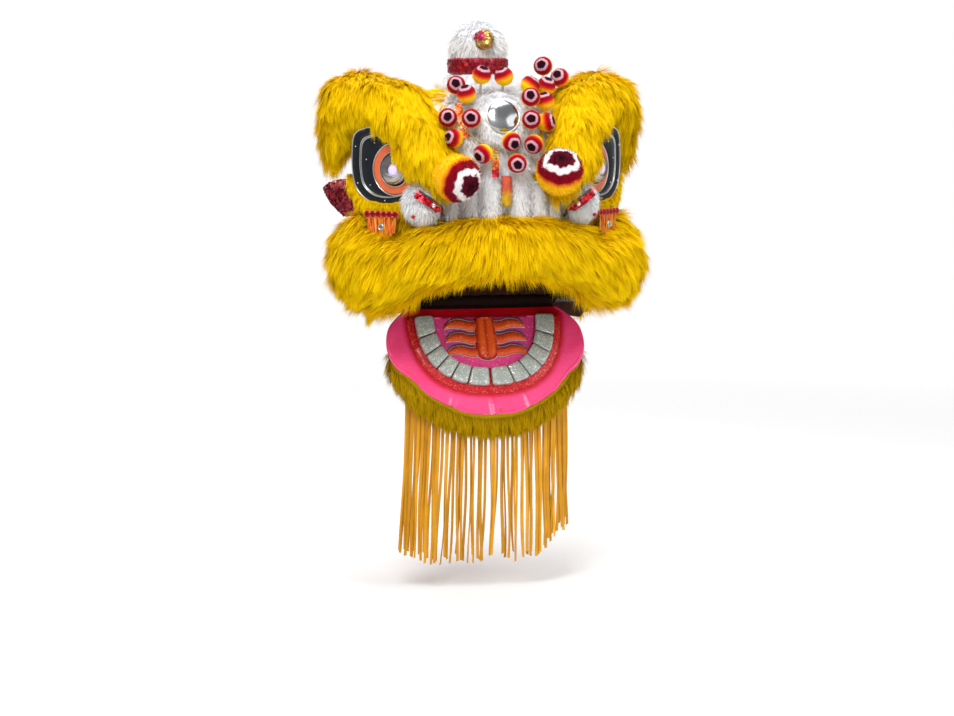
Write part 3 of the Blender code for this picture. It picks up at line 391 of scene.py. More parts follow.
def hide_paint(name, dark, light):
    """The matted pile between the strands, coloured darker than them as painted shade."""
    paint = Paint(name, Roughness=0.9, Specular_IOR_Level=0.1)
    fibres = paint.noise(420, 3, 0.7)
    paint.feed(Base_Color=paint.mix(dark, light, paint.clamp(fibres * 1.6 - 0.3)))
    return paint.bump(fibres, 0.002)


def furry(name, body, slot, node, paints, around, voxel, rounds, inset, **coat):
    """A padded piece for a node: its skin in matted pile under a coat of strands."""
    pile_paint, strand_paint = paints
    hide = skin_of(node, voxel, rounds, inset, around)
    strands = grow(hide, paint=strand_paint, neighbours=around, **coat)
    piece = show(name, body, [(hide[0], hide[1], pile_paint, {}), strands], [node])


# Painted shade: the roots and the pile under the strands are darker than the tips.
yellow_strands = fur_paint("yellow_strands", (0.72, 0.40, 0.0), (0.97, 0.68, 0.0))
yellow_hide = hide_paint("yellow_hide", (0.58, 0.30, 0.0), (0.86, 0.55, 0.0))
YELLOW_COAT = (yellow_hide, yellow_strands)
BROW_NEIGHBOURS = ["shell", "nose", "mirror_boss", "horn_foot"]
for side, seed in (("left", 11), ("right", 12)):
    around = BROW_NEIGHBOURS + ["eye_socket_" + side, "lower_lid_" + side, "nostril_" + side]
    furry("brow_fur_" + side, "head", "yellow_fur", "brow_" + side, YELLOW_COAT, around,
          voxel=0.008, rounds=10, inset=0.014, count=54000, length=0.027, width=0.0012, lift=0.32,
          flow=(0.0, -0.45, -0.85), seed=seed, margin=0.010)


# Upper lip: one thick padded roll from cheek to cheek in the same long fur, swelling at its
# lower ends. It is sewn to the shell's rim and brushed down and outwards.
LIP_NEIGHBOURS = ["shell", "nose", "nostril_left", "nostril_right", "lower_lid_left", "lower_lid_right"]
LIP_REACH, LIP_LEAN = 0.22, 0.75


def lip_flow(places):
    """Down over the roll, and brushed away from the middle towards the cheeks."""
    sideways = np.clip(places[:, 0] / LIP_REACH, -LIP_LEAN, LIP_LEAN)
    return np.stack([sideways, np.full(len(places), -0.40), np.full(len(places), -0.75)], 1)


furry("lip_fur", "head", "yellow_fur", "lip_roll", YELLOW_COAT, LIP_NEIGHBOURS,
      voxel=0.008, rounds=8, inset=0.015, count=57000, length=0.027, width=0.0013, lift=0.30,
      flow=lip_flow, seed=21, margin=0.010, lock=22)


# Lower lids: slim padded rolls of the same fur, clipped shorter, that are sewn along
# the bottom of each eye plate and hide its edge.
for side, seed in (("left", 31), ("right", 32)):
    furry("lid_fur_" + side, "head", "yellow_fur", "lower_lid_" + side, YELLOW_COAT,
          ["shell", "eye_socket_" + side, "nostril_" + side],
          voxel=0.005, rounds=5, inset=0.004, count=9000, length=0.014, width=0.0010, lift=0.40,
          flow=(0.0, -0.4, -0.85), seed=seed, margin=0.005)


# Jaw fur: a padded roll sewn under the rim of the lower jaw, in fur that hangs down,
# coloured as a darker, olive copy of the yellow fur for painted shade under the jaw.
# Painted shade: the strands and pile are darker copies of the yellow fur.
jaw_fur_shaded_strands = fur_paint("jaw_fur_shaded_strands", (0.26, 0.15, 0.0), (0.56, 0.34, 0.0))
jaw_fur_shaded_hide = hide_paint("jaw_fur_shaded_hide", (0.22, 0.13, 0.0), (0.50, 0.33, 0.0))
furry("jaw_roll_fur", "jaw", "yellow_fur", "jaw_fur", (jaw_fur_shaded_hide, jaw_fur_shaded_strands), ["jaw_board"],
      voxel=0.006, rounds=6, inset=0.005, count=23000, length=0.020, width=0.0011, lift=0.32,
      flow=(0.0, -0.3, -0.9), seed=41, margin=0.006)


# White fur: the ribbed nose, the nostril lumps, the forehead boss and the horn's foot and cap,
# all in a shorter, finer and slightly blue-white pile.
white_strands = fur_paint("white_strands", (0.92, 0.93, 0.96), (1.0, 1.0, 1.0), 0.7, 0.15, 0.2)
white_hide = hide_paint("white_hide", (0.84, 0.84, 0.87), (0.97, 0.97, 0.99))
WHITE_FURS = [
    # node, voxel, strands, length, inset, lift, flow, neighbours
    ("nose", 0.0035, 24000, 0.009, 0.0025, 0.70, (0, -0.2, -0.8),
     ["shell", "brow_left", "brow_right", "lip_roll"]),
    ("nostril_left", 0.005, 7500, 0.012, 0.005, 0.70, (0, -0.2, -0.8),
     ["shell", "nose", "lip_roll", "eye_socket_left"]),
    ("nostril_right", 0.005, 7500, 0.012, 0.005, 0.70, (0, -0.2, -0.8),
     ["shell", "nose", "lip_roll", "eye_socket_right"]),
    ("mirror_boss", 0.005, 14000, 0.012, 0.004, 0.75, (0, -0.5, -0.4), ["shell", "mirror"]),
    ("horn_foot", 0.005, 9000, 0.012, 0.004, 0.70, (0, 0, -0.9), ["shell", "horn_collar"]),
    ("horn_cap", 0.005, 13000, 0.012, 0.004, 0.72, (0, 0, -0.9), ["horn_collar", "horn_tip"]),
]
for seed, (node, voxel, count, length, inset, lift, flow, around) in enumerate(WHITE_FURS, 51):
    furry(node + "_fur", "head", "white_fur", node, (white_hide, white_strands), around,
          voxel=voxel, rounds=3, inset=inset, count=count, length=length, width=0.0010, lift=lift,
          flow=flow, seed=seed, margin=0.5 * inset + 0.001, lock=6, pull=0.12, spread=0.12)


# Shell: a hollow wall of papier-mache and cloth on a light frame, brown inside. Outside it wears
# a short yellow plush pile, which turns white round the mirror.
SHELL_CENTRE = np.array((0.0, 0.028, 0.06))
SHELL_ROUNDNESS = np.array((0.25, 0.235, 0.33))
shell_paint = Paint("shell_lining", Roughness=0.85)
paper = shell_paint.noise(60, 5, 0.6)
lining = shell_paint.mix((0.030, 0.012, 0.008), (0.10, 0.042, 0.020), paper)
# Painted shade: the pile under the plush is darker than its strands, and grey under the white fur.
pile = shell_paint.mix((0.50, 0.27, 0.0), (0.72, 0.43, 0.0), paper)
outward = shell_paint.node("VectorMath", {"operation": "SUBTRACT"},
                           {0: shell_paint.place(), 1: tuple(SHELL_CENTRE)})
turned = shell_paint.node("VectorMath", {"operation": "DOT_PRODUCT"}, {
    0: outward, 1: shell_paint.node("TexCoord", {}, {}, "Normal")}, "Value")
high_up = shell_paint.clamp((shell_paint.along("Z") - 0.215) * 60)
in_front = shell_paint.clamp(shell_paint.along("Y") * -40 + 0.5)
pile = shell_paint.mix(pile, (0.62, 0.61, 0.60), high_up * in_front)
shell_paint.feed(Base_Color=shell_paint.mix(lining, pile, shell_paint.clamp(turned * 40)))
shell_paint.bump(paper, 0.003)


def coat_node(node, paint):
    """A hard node of the source keeps its own mesh and takes a finish."""
    NODES[node].data.materials.clear()
    NODES[node].data.materials.append(paint.material)


coat_node("shell", shell_paint)
wall_points, wall_faces, _ = arrays_of(NODES["shell"].data)
corners = wall_points[wall_faces]
facing = np.cross(corners[:, 1] - corners[:, 0], corners[:, 2] - corners[:, 0])
away_from_middle = unit((corners.mean(1) - SHELL_CENTRE) / SHELL_ROUNDNESS ** 2)
outer = (unit(facing) * away_from_middle).sum(1) > 0.4
wall_out = np.zeros_like(wall_points)
for k in range(3):
    np.add.at(wall_out, wall_faces[outer][:, k], facing[outer])
plush = (wall_points, wall_faces[outer], unit(wall_out))
SHELL_NEIGHBOURS = ["brow_left", "brow_right", "lip_roll", "nose", "mirror_boss", "horn_foot",
                    "eye_socket_left", "eye_socket_right", "lower_lid_left", "lower_lid_right"]


def on_forehead(places):
    """Where the shell's pile is white: round the mirror, between the brows and the horn."""
    return (np.abs(places[:, 0]) < 0.088) & (places[:, 1] < 0.03) & (places[:, 2] > 0.205)


strands = grow(plush, count=40000, length=0.017, width=0.0016, lift=0.34, flow=(0.0, 0.25, -0.9),
               seed=61, paint=yellow_strands, neighbours=SHELL_NEIGHBOURS, margin=0.003, lock=20,
               droop=0.0, keep=lambda places: ~on_forehead(places))
pale = grow(plush, count=9000, length=0.018, width=0.0012, lift=0.50, flow=(0.0, -0.3, -0.7),
            seed=62, paint=white_strands, neighbours=SHELL_NEIGHBOURS, margin=0.003, lock=8,
            droop=0.0, keep=on_forehead)
show("shell_plush", "head", [strands, pale])


# Pompoms: balls of clipped wool on coil springs, dyed in bands from yellow at the back through
# orange and maroon to a pale ring round a near-black core. Each one faces its own way.
IMAGE_RIGHT = np.array((math.cos(VIEW_AZIMUTH), math.sin(VIEW_AZIMUTH), 0.0))
IMAGE_BACK = np.array(away)
IMAGE_UP = np.cross(IMAGE_BACK, IMAGE_RIGHT)
DENT_DEPTH, DENT_WIDTH = 0.10, 0.30
POMPOM_FACINGS = [
    # node, right, up and towards the camera
    ("pompom_01", -0.05, 0.15, 1.0),
    ("pompom_02", -0.20, 0.85, 0.45),
    ("pompom_03", 0.0, 0.05, 1.0),
    ("pompom_04", -0.05, 0.0, 1.0),
    ("pompom_05", -0.70, 0.10, 0.65),
    ("pompom_06", -0.60, -0.40, 0.65),
    ("pompom_07", 0.25, 0.75, 0.50),
    ("pompom_08", -0.35, 0.85, 0.30),
    ("pompom_09", -0.25, 0.10, 1.0),
    ("pompom_10", -0.35, 0.35, 0.85),
    ("pompom_11", 0.50, 0.75, 0.05),
    ("pompom_12", 0.20, 0.65, 0.35),
    ("pompom_13", -0.05, 0.20, 1.0),
    ("pompom_14", -0.20, 0.80, 0.35),
    ("pompom_15", -0.05, 0.05, 1.0),
    ("pompom_16", 0.85, 0.20, 0.30),
    ("pompom_17", 0.40, -0.42, 0.80),
    ("pompom_18", -0.30, -0.42, 0.82),
    ("pompom_19", 0.08, -0.25, 0.95),
    ("large_pompom_01", 0.66, -0.44, 0.62),
    ("large_pompom_02", 0.08, 0.60, 0.78),
]
CORE_DYE, RING_DYE, WHITE_DYE = (0.020, 0.0, 0.005), (0.62, 0.34, 0.40), (0.90, 0.86, 0.86)
RED_DYE = (0.30, 0.0, 0.010)
ORANGE_DYE, YELLOW_DYE = (0.90, 0.20, 0.008), (0.95, 0.60, 0.008)


def wool_paint(name, stops):
    paint = Paint(name, Roughness=0.85, Sheen_Weight=0.04, Sheen_Roughness=0.5,
                  Specular_IOR_Level=0.08)
    dye = paint.node("ValToRGB", {"stops": stops}, {"Fac": paint.value("turn")})
    fibres = paint.noise(900, 2, 0.6)
    paint.feed(Base_Color=paint.shade(dye, 0.78 + 0.5 * fibres))
    return paint.bump(fibres, 0.001)


small_wool = wool_paint("small_wool", [
    (0.0, CORE_DYE), (0.140, CORE_DYE), (0.172, RING_DYE), (0.232, RING_DYE), (0.262, RED_DYE),
    (0.36, RED_DYE), (0.43, (0.62, 0.02, 0.008)), (0.49, ORANGE_DYE), (0.55, YELLOW_DYE),
    (1.0, YELLOW_DYE)])
large_wool = wool_paint("large_wool", [
    (0.0, CORE_DYE), (0.10, (0.09, 0.0, 0.010)), (0.165, (0.13, 0.0, 0.012)), (0.185, WHITE_DYE),
    (0.265, WHITE_DYE), (0.285, (0.24, 0.0, 0.012)), (0.40, RED_DYE), (0.435, ORANGE_DYE),
    (0.49, YELLOW_DYE), (1.0, YELLOW_DYE)])
spring_paint = Paint("spring_wire", Base_Color=(0.55, 0.50, 0.42), Metallic=1.0)
spring_paint.feed(Roughness=0.25 + 0.25 * spring_paint.noise(300))


def loft(rings, closed=True, caps=True):
    """Triangles over rings of points, shaped (rings, points, 3), with a fan at each end."""
    rings = np.asarray(rings, float)
    rows, count, _ = rings.shape
    points = rings.reshape(-1, 3)
    k, i = np.meshgrid(np.arange(rows - 1), np.arange(count - (not closed)), indexing="ij")
    j = (i + 1) % count
    here, above = k * count, (k + 1) * count
    a, b, c, d = (x.ravel() for x in (here + i, here + j, above + j, above + i))
    faces = [np.stack([a, b, c], 1), np.stack([a, c, d], 1)]
    if closed and caps:
        for row, flip in ((0, True), (rows - 1, False)):
            middle = len(points)
            points = np.vstack([points, rings[row].mean(0)])
            i = np.arange(count)
            fan = [row * count + i, row * count + (i + 1) % count, np.full(count, middle)]
            faces.append(np.stack(fan[::-1] if flip else fan, 1))
    return points, np.concatenate(faces)


def tube(path, radius, sides=8, closed=False):
    """A round tube along a path; radius is a number or one for each point."""
    path = np.asarray(path, float)
    ahead = np.roll(path, -1, 0) - np.roll(path, 1, 0) if closed else np.gradient(path, axis=0)
    ahead = unit(ahead)
    side = np.cross(ahead[0], (0.3, 0.5, 0.81))
    rings = []
    radii = np.broadcast_to(radius, len(path))
    turns = around_ring(sides)
    for point, way, size in zip(path, ahead, radii):
        side = unit(side - way * np.dot(side, way))
        other = np.cross(way, side)
        rings.append(point + size * (turns[:, :1] * side + turns[:, 1:] * other))
    if closed:
        rings.append(rings[0])
    return loft(rings, caps=not closed)


def centre_of(points, triangles):
    """The middle of a closed body's volume."""
    a, b, c = (points[triangles[:, i]] for i in range(3))
    volume = (a * np.cross(b, c)).sum(1)
    return ((a + b + c) * volume[:, None]).sum(0) / volume.sum() / 4


def wool_ball(middle, facing, radius, strands, paint, seed, ragged, fine):
    """A clipped ball whose dye bands waver by ragged, with fine rows, under loose fibres."""
    rng = np.random.default_rng(seed)
    side = unit(np.cross(facing, (0.31, 0.2, 0.93)))
    other = np.cross(facing, side)
    phase = rng.random(3) * math.tau

    def turn_of(ways):
        angle = np.arccos(np.clip(ways @ facing, -1, 1)) / math.pi
        spin = np.arctan2(ways @ other, ways @ side)
        wave = ragged * (1.3 * np.sin(2 * spin + phase[0]) + np.sin(5 * spin + phase[1])
                         + 0.8 * np.sin(11 * spin + phase[2]))
        wave *= np.minimum(1, 5 * angle) * np.clip(1.25 - 2.2 * angle, 0.2, 1)
        return np.clip(angle + wave, 0, 1)

    def dented(angle):
        return 1 - DENT_DEPTH * np.exp(-(angle / DENT_WIDTH) ** 2)

    turns = around_ring(2 * fine)
    rings = []
    for t in np.linspace(0.03, math.pi - 0.03, fine):
        ring = math.cos(t) * facing + math.sin(t) * (turns[:, :1] * side + turns[:, 1:] * other)
        rings.append(ring * dented(t))
    ball, faces = loft(rings)
    ball_turn = turn_of(unit(ball))
    ways = unit(rng.normal(0, 1, (strands, 3)))
    dent = dented(np.arccos(np.clip(ways @ facing, -1, 1)))
    roots = ways * (0.84 * dent)[:, None]
    tips = ways * (dent * rng.uniform(0.97, 1.025, strands))[:, None]
    tips = tips + rng.normal(0, 0.018, (strands, 3))
    across = unit(np.cross(ways, rng.normal(0, 1, (strands, 3)))) * 0.020
    verts = np.stack([roots - across, roots + across, tips - across * 0.5, tips + across * 0.5], 1)
    pattern = np.array([(0, 1, 3), (0, 3, 2)])
    fuzz = (pattern[None] + 4 * np.arange(strands)[:, None, None]).reshape(-1, 3)
    fuzz_turn = np.repeat(np.clip(turn_of(ways) + rng.normal(0, 0.010, strands), 0, 1), 4)
    return [(middle + ball * radius * 0.955, faces, paint, {"turn": ball_turn}),
            (middle + verts.reshape(-1, 3) * radius, fuzz, paint, {"turn": fuzz_turn})]


def coil(start, end, radius, wire, pitch):
    """A spring wire wound from start to end."""
    way = end - start
    length = np.linalg.norm(way)
    way = way / length
    side = unit(np.cross(way, (0.2, 0.9, 0.3)))
    other = np.cross(way, side)
    count = max(int(length / pitch * 9), 12)
    t = np.linspace(0, 1, count)
    spin = t * length / pitch * math.tau
    path = start + way * (t * length)[:, None] + radius * (np.cos(spin)[:, None] * side
                                                           + np.sin(spin)[:, None] * other)
    return tube(path, wire, 4)


# wool, radius, loose fibres, waver of the dye, rows
SMALL_BALL = (small_wool, 0.0195, 1200, 0.011, 20)
LARGE_BALL = (large_wool, 0.047, 6500, 0.020, 36)
for seed, (node, right, up, near) in enumerate(POMPOM_FACINGS, 101):
    wool, radius, fibres, ragged, fine = LARGE_BALL if node.startswith("large") else SMALL_BALL
    points, triangles, _ = arrays_of(NODES[node].data)
    middle = centre_of(points, triangles)
    foot = points[np.argmax(np.linalg.norm(points - middle, axis=1))]
    facing = unit(right * IMAGE_RIGHT + up * IMAGE_UP + near * IMAGE_BACK)
    spring_end = middle + unit(foot - middle) * radius * 0.8
    parts = wool_ball(middle, facing, radius, fibres, wool, seed, ragged, fine)
    parts.append((*coil(foot, spring_end, radius=0.0022, wire=0.0005, pitch=0.0024), spring_paint, {}))
    show(node + "_ball", "head", parts, [node])


# Eyes: glossy black vinyl in two bands edged with silver cord and studs, an orange crescent,
# and a silvered dome with a small lens in the middle that glows with painted light.
EYE_PLACE = (0.203, -0.140, 0.2139)
EYE_TURN = math.radians(45)
EYE_WIDTH, EYE_HEIGHT = 0.102, 0.070
IRIS_RADIUS, BALL_RADIUS = 0.052, 0.031
LENS_SHIFT = np.array((-0.008, -0.001))
# radius and height off the plate, from the outside in
IRIS_PROFILE = [(0.0505, 0.0005), (0.0500, 0.0030), (0.046, 0.0044), (0.038, 0.0042), (0.0345, 0.0028),
                (0.0335, 0.0010)]
LENS_PROFILE = [(0.0105, 0.0210), (0.0098, 0.0244), (0.0066, 0.0265), (0.0028, 0.0274)]
EYE_OUTLINE = [(0.98, 0.95), (1.03, 0.45), (1.02, -0.10), (0.92, -0.60), (0.62, -0.93), (0.20, -1.00),
               (-0.25, -0.86), (-0.55, -0.55), (-0.70, -0.05), (-0.62, 0.60), (-0.25, 1.05),
               (0.35, 1.20), (0.75, 1.15)]


def mottled(name, dark, light, scale, rough, swing, detail=3, grit=0.5, **fixed):
    """A finish that wavers between two colours and two roughnesses, and its grain."""
    paint = Paint(name, **fixed)
    grain = paint.noise(scale, detail, grit)
    return paint.feed(Base_Color=paint.mix(dark, light, grain), Roughness=rough + swing * grain), grain


vinyl_paint, creases = mottled("black_vinyl", (0.001, 0.002, 0.004), (0.010, 0.014, 0.021), 55, 0.10, 0.22,
                               4, 0.6, Coat_Weight=0.30, Coat_Roughness=0.05, Specular_IOR_Level=0.25)
vinyl_paint.bump(creases, 0.004, 0.5)
silver_cord = Paint("silver_cord", Base_Color=(0.80, 0.81, 0.80), Metallic=1.0)
silver_cord.feed(Roughness=0.18 + 0.25 * silver_cord.noise(700))
iris_paint, grain = mottled("orange_vinyl", (0.62, 0.07, 0.015), (0.92, 0.20, 0.05), 120, 0.22, 0.2,
                            4, 0.6, Coat_Weight=0.4)
iris_paint.bump(grain, 0.0015)
dome_paint, swirl = mottled("silver_dome", (0.10, 0.09, 0.09), (0.60, 0.56, 0.55), 70, 0.06, 0.15,
                            Metallic=1.0)
dome_paint.bump(swirl, 0.0015)
# Painted light: the lens glows, though no lamp is in it, in a pattern of cells.
lens_paint = Paint("painted_glow_lens", Base_Color=(0.62, 0.52, 0.95), Roughness=0.08, Coat_Weight=0.5,
                   Emission_Strength=0.45)
sparkle = lens_paint.cells(260)
lens_paint.feed(Emission_Color=lens_paint.mix((0.95, 0.90, 1.0), (0.55, 0.45, 0.95),
                                              lens_paint.clamp(sparkle * 2.2)))
lens_paint.bump(sparkle, 0.001)


def curve_through(before, start, end, after, t):
    """Where a smooth curve between start and end stands at t, from 0 to 1."""
    return 0.5 * (2 * start + (end - before) * t + (2 * before - 5 * start + 4 * end - after) * t * t
                  + (3 * start - before - 3 * end + after) * t ** 3)


def smooth_loop(rows, count):
    """A closed smooth curve through rows of values."""
    rows = np.array(rows, float)
    share = np.arange(count) / count * len(rows)
    k = share.astype(int)
    t = (share - k)[:, None]
    return curve_through(*(rows[(k + o) % len(rows)] for o in (-1, 0, 1, 2)), t)


def on_eye(side, flat, forward):
    """Points on an eye plate from out and up offsets and a height off its face."""
    tangent = np.array((math.cos(EYE_TURN), math.sin(EYE_TURN), 0))
    normal = np.array((math.sin(EYE_TURN), -math.cos(EYE_TURN), 0))
    flat = np.asarray(flat, float)
    forward = np.broadcast_to(forward, flat.shape[:-1])
    points = (np.array(EYE_PLACE) + flat[..., :1] * tangent + flat[..., 1:] * np.array((0, 0, 1))
              + forward[..., None] * normal)
    return points * np.array((side, 1, 1))


def bead(centre, radius):
    """A small round stud."""
    ring = around_ring(8)
    return loft([centre + radius * np.column_stack([math.cos(t) * ring, np.full(8, math.sin(t))])
                 for t in (-1.3, -0.6, 0, 0.6, 1.3)])


EYE_CORNERS, INNER_BAND = 96, 0.79
outline = smooth_loop(EYE_OUTLINE, EYE_CORNERS) * np.array((EYE_WIDTH, EYE_HEIGHT))
iris = unit(outline) * IRIS_RADIUS
for name, side in (("left", -1), ("right", 1)):
    rings = [on_eye(side, outline, -0.075), on_eye(side, outline, -0.006)]
    for scale, height in ((0.985, -0.001), (0.94, 0.0025), (0.88, 0.003), (0.82, 0.0015),
                          (INNER_BAND, -0.0005)):
        rings.append(on_eye(side, outline * scale, height))
    for share, height in ((0.15, 0.002), (0.5, 0.004), (0.85, 0.0025), (1.0, 0.001)):
        rings.append(on_eye(side, outline * INNER_BAND * (1 - share) + iris * share, height))
    parts = [(*loft(rings), vinyl_paint, {})]
    for loop, height, radius in ((outline * 0.985, 0.0005, 0.0014), (outline * 0.805, 0.001, 0.0010),
                                 (outline * 0.775, 0.001, 0.0010), (iris, 0.0025, 0.0012)):
        parts.append((*tube(on_eye(side, loop, height), radius, 6, True), silver_cord, {}))
    for k in range(4, EYE_CORNERS, 16):
        parts.append((*bead(on_eye(side, outline[k] * 0.89, 0.0045), 0.0016), silver_cord, {}))
        middle = outline[k + 4] * INNER_BAND * 0.5 + iris[k + 4] * 0.5
        parts.append((*bead(on_eye(side, middle, 0.0055), 0.0014), silver_cord, {}))
    show("eye_plate_" + name, "head", parts, ["eye_socket_" + name])
    ring = unit(outline)
    rings = [on_eye(side, ring * r, h) for r, h in IRIS_PROFILE]
    show("iris_" + name, "head", [
        (*loft(rings), iris_paint, {}),
        (*tube(on_eye(side, ring * 0.0345, 0.0046), 0.0010, 6, True), silver_cord, {})],
        ["eye_iris_" + name])
    rings = []
    for t in np.linspace(0, 1, 13):
        radius = BALL_RADIUS * math.cos(t * 1.32)
        rise = 0.0050 + 0.0185 * math.sin(t * 1.32) + 0.0009 * math.cos(t * 26)
        rings.append(on_eye(side, ring * radius, rise))
    lens = [on_eye(side, ring[::4] * r + LENS_SHIFT, h) for r, h in LENS_PROFILE]
    lens_rim = on_eye(side, ring[::3] * 0.0115 + LENS_SHIFT, 0.0224)
    show("eye_dome_" + name, "head", [
        (*loft(rings), dome_paint, {}), (*loft(lens), lens_paint, {}),
        (*tube(lens_rim, 0.0012, 6, True), silver_cord, {})], ["eye_ball_" + name])


# Forehead mirror: a silvered dome, a little dented, in a fine silver rim. It is sewn
# to the fur boss and leans back with it.
MIRROR_RADIUS, MIRROR_TILT = 0.034, math.radians(20)
# share of the radius and height off the boss, from the outside in
MIRROR_PROFILE = [(0.92, 0.0), (1.0, 0.002), (1.0, 0.004), (0.93, 0.0065), (0.80, 0.009), (0.62, 0.011),
                  (0.40, 0.0125), (0.18, 0.0132)]
points, triangles, _ = arrays_of(NODES["mirror"].data)
mirror_middle = centre_of(points, triangles)
mirror_out = np.array((0.0, -math.cos(MIRROR_TILT), math.sin(MIRROR_TILT)))
mirror_up = np.array((0.0, math.sin(MIRROR_TILT), math.cos(MIRROR_TILT)))
glass_paint = Paint("silvered_dome", Metallic=1.0)
dents = glass_paint.noise(22, 1, 0.5)
glass_paint.feed(Base_Color=glass_paint.mix((0.36, 0.37, 0.38), (0.74, 0.75, 0.77),
                                            glass_paint.clamp(3.0 * dents - 1.0)),
                 Roughness=0.13 + 0.12 * dents)
glass_paint.bump(dents, 0.004)
turns = around_ring(48)
circle = turns[:, :1] * np.array((1.0, 0, 0)) + turns[:, 1:] * mirror_up
seat = points[np.argmin(points @ mirror_out)] @ mirror_out - mirror_middle @ mirror_out
rings = [mirror_middle + circle * MIRROR_RADIUS * r + mirror_out * (seat + h) for r, h in MIRROR_PROFILE]
rim = mirror_middle + circle * MIRROR_RADIUS * 0.99 + mirror_out * (seat + 0.0045)
show("forehead_mirror", "head", [
    (*loft(rings), glass_paint, {}), (*tube(rim, 0.0014, 6, True), silver_cord, {})], ["mirror"])


# Horn: a maroon satin collar sewn with sequins between the white fur of foot and cap,
# and a gold sequinned beak with a rose patch on one side.
def seated(surface, count, rng):
    """Random places over a surface and the way each one faces."""
    corners, facings = scattered(surface, count, rng)
    weights = rng.dirichlet((1, 1, 1), count)[:, :, None]
    return (corners * weights).sum(1), unit((facings * weights).sum(1))


def sequins(places, out, size, lift, seed, paint, values=None):
    """Six-sided discs lying on a surface, each tilted a little its own way."""
    rng = np.random.default_rng(seed)
    count = len(places)
    way = unit(out + rng.normal(0, 0.20, (count, 3)))
    side = unit(np.cross(way, rng.normal(0, 1, (count, 3))))
    other = np.cross(way, side)
    spin = around_ring(6)[None, :, :, None]
    discs = (places + out * lift)[:, None] + size * (spin[:, :, 0] * side[:, None]
                                                     + spin[:, :, 1] * other[:, None])
    pattern = np.array([(0, 1, 2), (0, 2, 3), (0, 3, 5), (3, 4, 5)])
    faces = (pattern[None] + 6 * np.arange(count)[:, None, None]).reshape(-1, 3)
    kept = {"tint": np.repeat(rng.random(count), 6)}
    for key, value in (values or {}).items():
        kept[key] = np.repeat(value, 6)
    return discs.reshape(-1, 3), faces, paint, kept


def sequin_paint(name, colour, pale, other=None):
    """Bright plastic sequins; other is the colour where the attribute rose is 1."""
    paint = Paint(name, Metallic=0.70, Coat_Weight=0.25, Coat_Roughness=0.08)
    tint = paint.value("tint")
    shine = paint.mix(colour, pale, tint * tint)
    if other:
        shine = paint.mix(shine, other, paint.value("rose"))
    return paint.feed(Base_Color=shine, Roughness=0.16 + 0.25 * tint)


ROW_SEQUINS, ROW_HEIGHTS, BEAK_SEQUINS = 46, (0.18, 0.39, 0.60, 0.81), 420
# share of the collar's height and of its radius, from the bottom up
COLLAR_PROFILE = [(0.0, 0.90), (0.04, 0.97), (0.25, 0.99), (0.5, 1.0), (0.75, 0.99), (0.96, 0.97),
                  (1.0, 0.90)]
maroon_sequin = sequin_paint("maroon_sequin", (0.22, 0.0, 0.012), (0.50, 0.008, 0.03), (0.85, 0.16, 0.20))
gold_sequin = sequin_paint("gold_sequin", (0.45, 0.24, 0.02), (0.95, 0.72, 0.20), (0.62, 0.02, 0.10))
satin_paint, satin = mottled("maroon_satin", (0.22, 0.0, 0.015), (0.48, 0.012, 0.04), 160, 0.28, 0.3,
                             Sheen_Weight=0.05, Sheen_Roughness=0.3)
satin_paint.bump(satin, 0.002)
low, high = (np.array(corner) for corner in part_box("horn_collar"))
middle, radius = (low + high) / 2, (high[0] - low[0]) / 2
band = []
for share, swell in COLLAR_PROFILE:
    spin = np.linspace(0, math.tau, 60, endpoint=False)
    reach = radius * swell * (1 + 0.012 * np.cos(15 * spin))
    band.append(np.stack([middle[0] + reach * np.cos(spin), middle[1] + reach * np.sin(spin),
                          np.full(60, low[2] + share * (high[2] - low[2]))], 1))
collar, collar_faces = loft(band)
row_spin = np.concatenate([np.linspace(0, math.tau, ROW_SEQUINS, endpoint=False) + 0.07 * k
                           for k in range(len(ROW_HEIGHTS))])
row_high = np.repeat(ROW_HEIGHTS, ROW_SEQUINS)
row_out = np.stack([np.cos(row_spin), np.sin(row_spin), 0 * row_spin], 1)
row_places = np.stack([middle[0] + radius * np.cos(row_spin), middle[1] + radius * np.sin(row_spin),
                       low[2] + row_high * (high[2] - low[2])], 1)
show("horn_collar_band", "head", [
    (collar, collar_faces, satin_paint, {}),
    sequins(row_places, row_out, 0.0042, 0.0008, 71, maroon_sequin)], ["horn_collar"])
beak = skin_of("horn_tip", 0.002, 3, 0.0005, None)
places, out = seated(beak, BEAK_SEQUINS, np.random.default_rng(72))
rose = ((places[:, 0] < -0.003) & (places[:, 2] > np.percentile(places[:, 2], 55))).astype(float)
tip_base = Paint("gold_cloth", Metallic=0.6, Roughness=0.35)
tip_base.feed(Base_Color=tip_base.mix((0.30, 0.14, 0.01), (0.70, 0.45, 0.08), tip_base.noise(220)))
show("horn_beak", "head", [
    (beak[0], beak[1], tip_base, {}),
    sequins(places, out, 0.0034, 0.0007, 73, gold_sequin, {"rose": rose})], ["horn_tip"])


# Nose strip: a short fuzzy stripe down the middle of the nose, salmon above and yellow below.
# It is a cut band of cloth glued over the ribs, and ends under the forehead's fur.
STRIP_TOP = 0.66
strip_low, strip_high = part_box("nose_strip")
strip_paint = Paint("strip_wool", Roughness=0.85, Sheen_Weight=0.2)
dye = strip_paint.node("ValToRGB", {"stops": [(0.0, (0.92, 0.62, 0.02)), (0.30, (0.92, 0.52, 0.02)),
                                              (0.52, (0.92, 0.20, 0.07)), (1.0, (0.92, 0.16, 0.09))]},
                       {"Fac": strip_paint.value("height")})
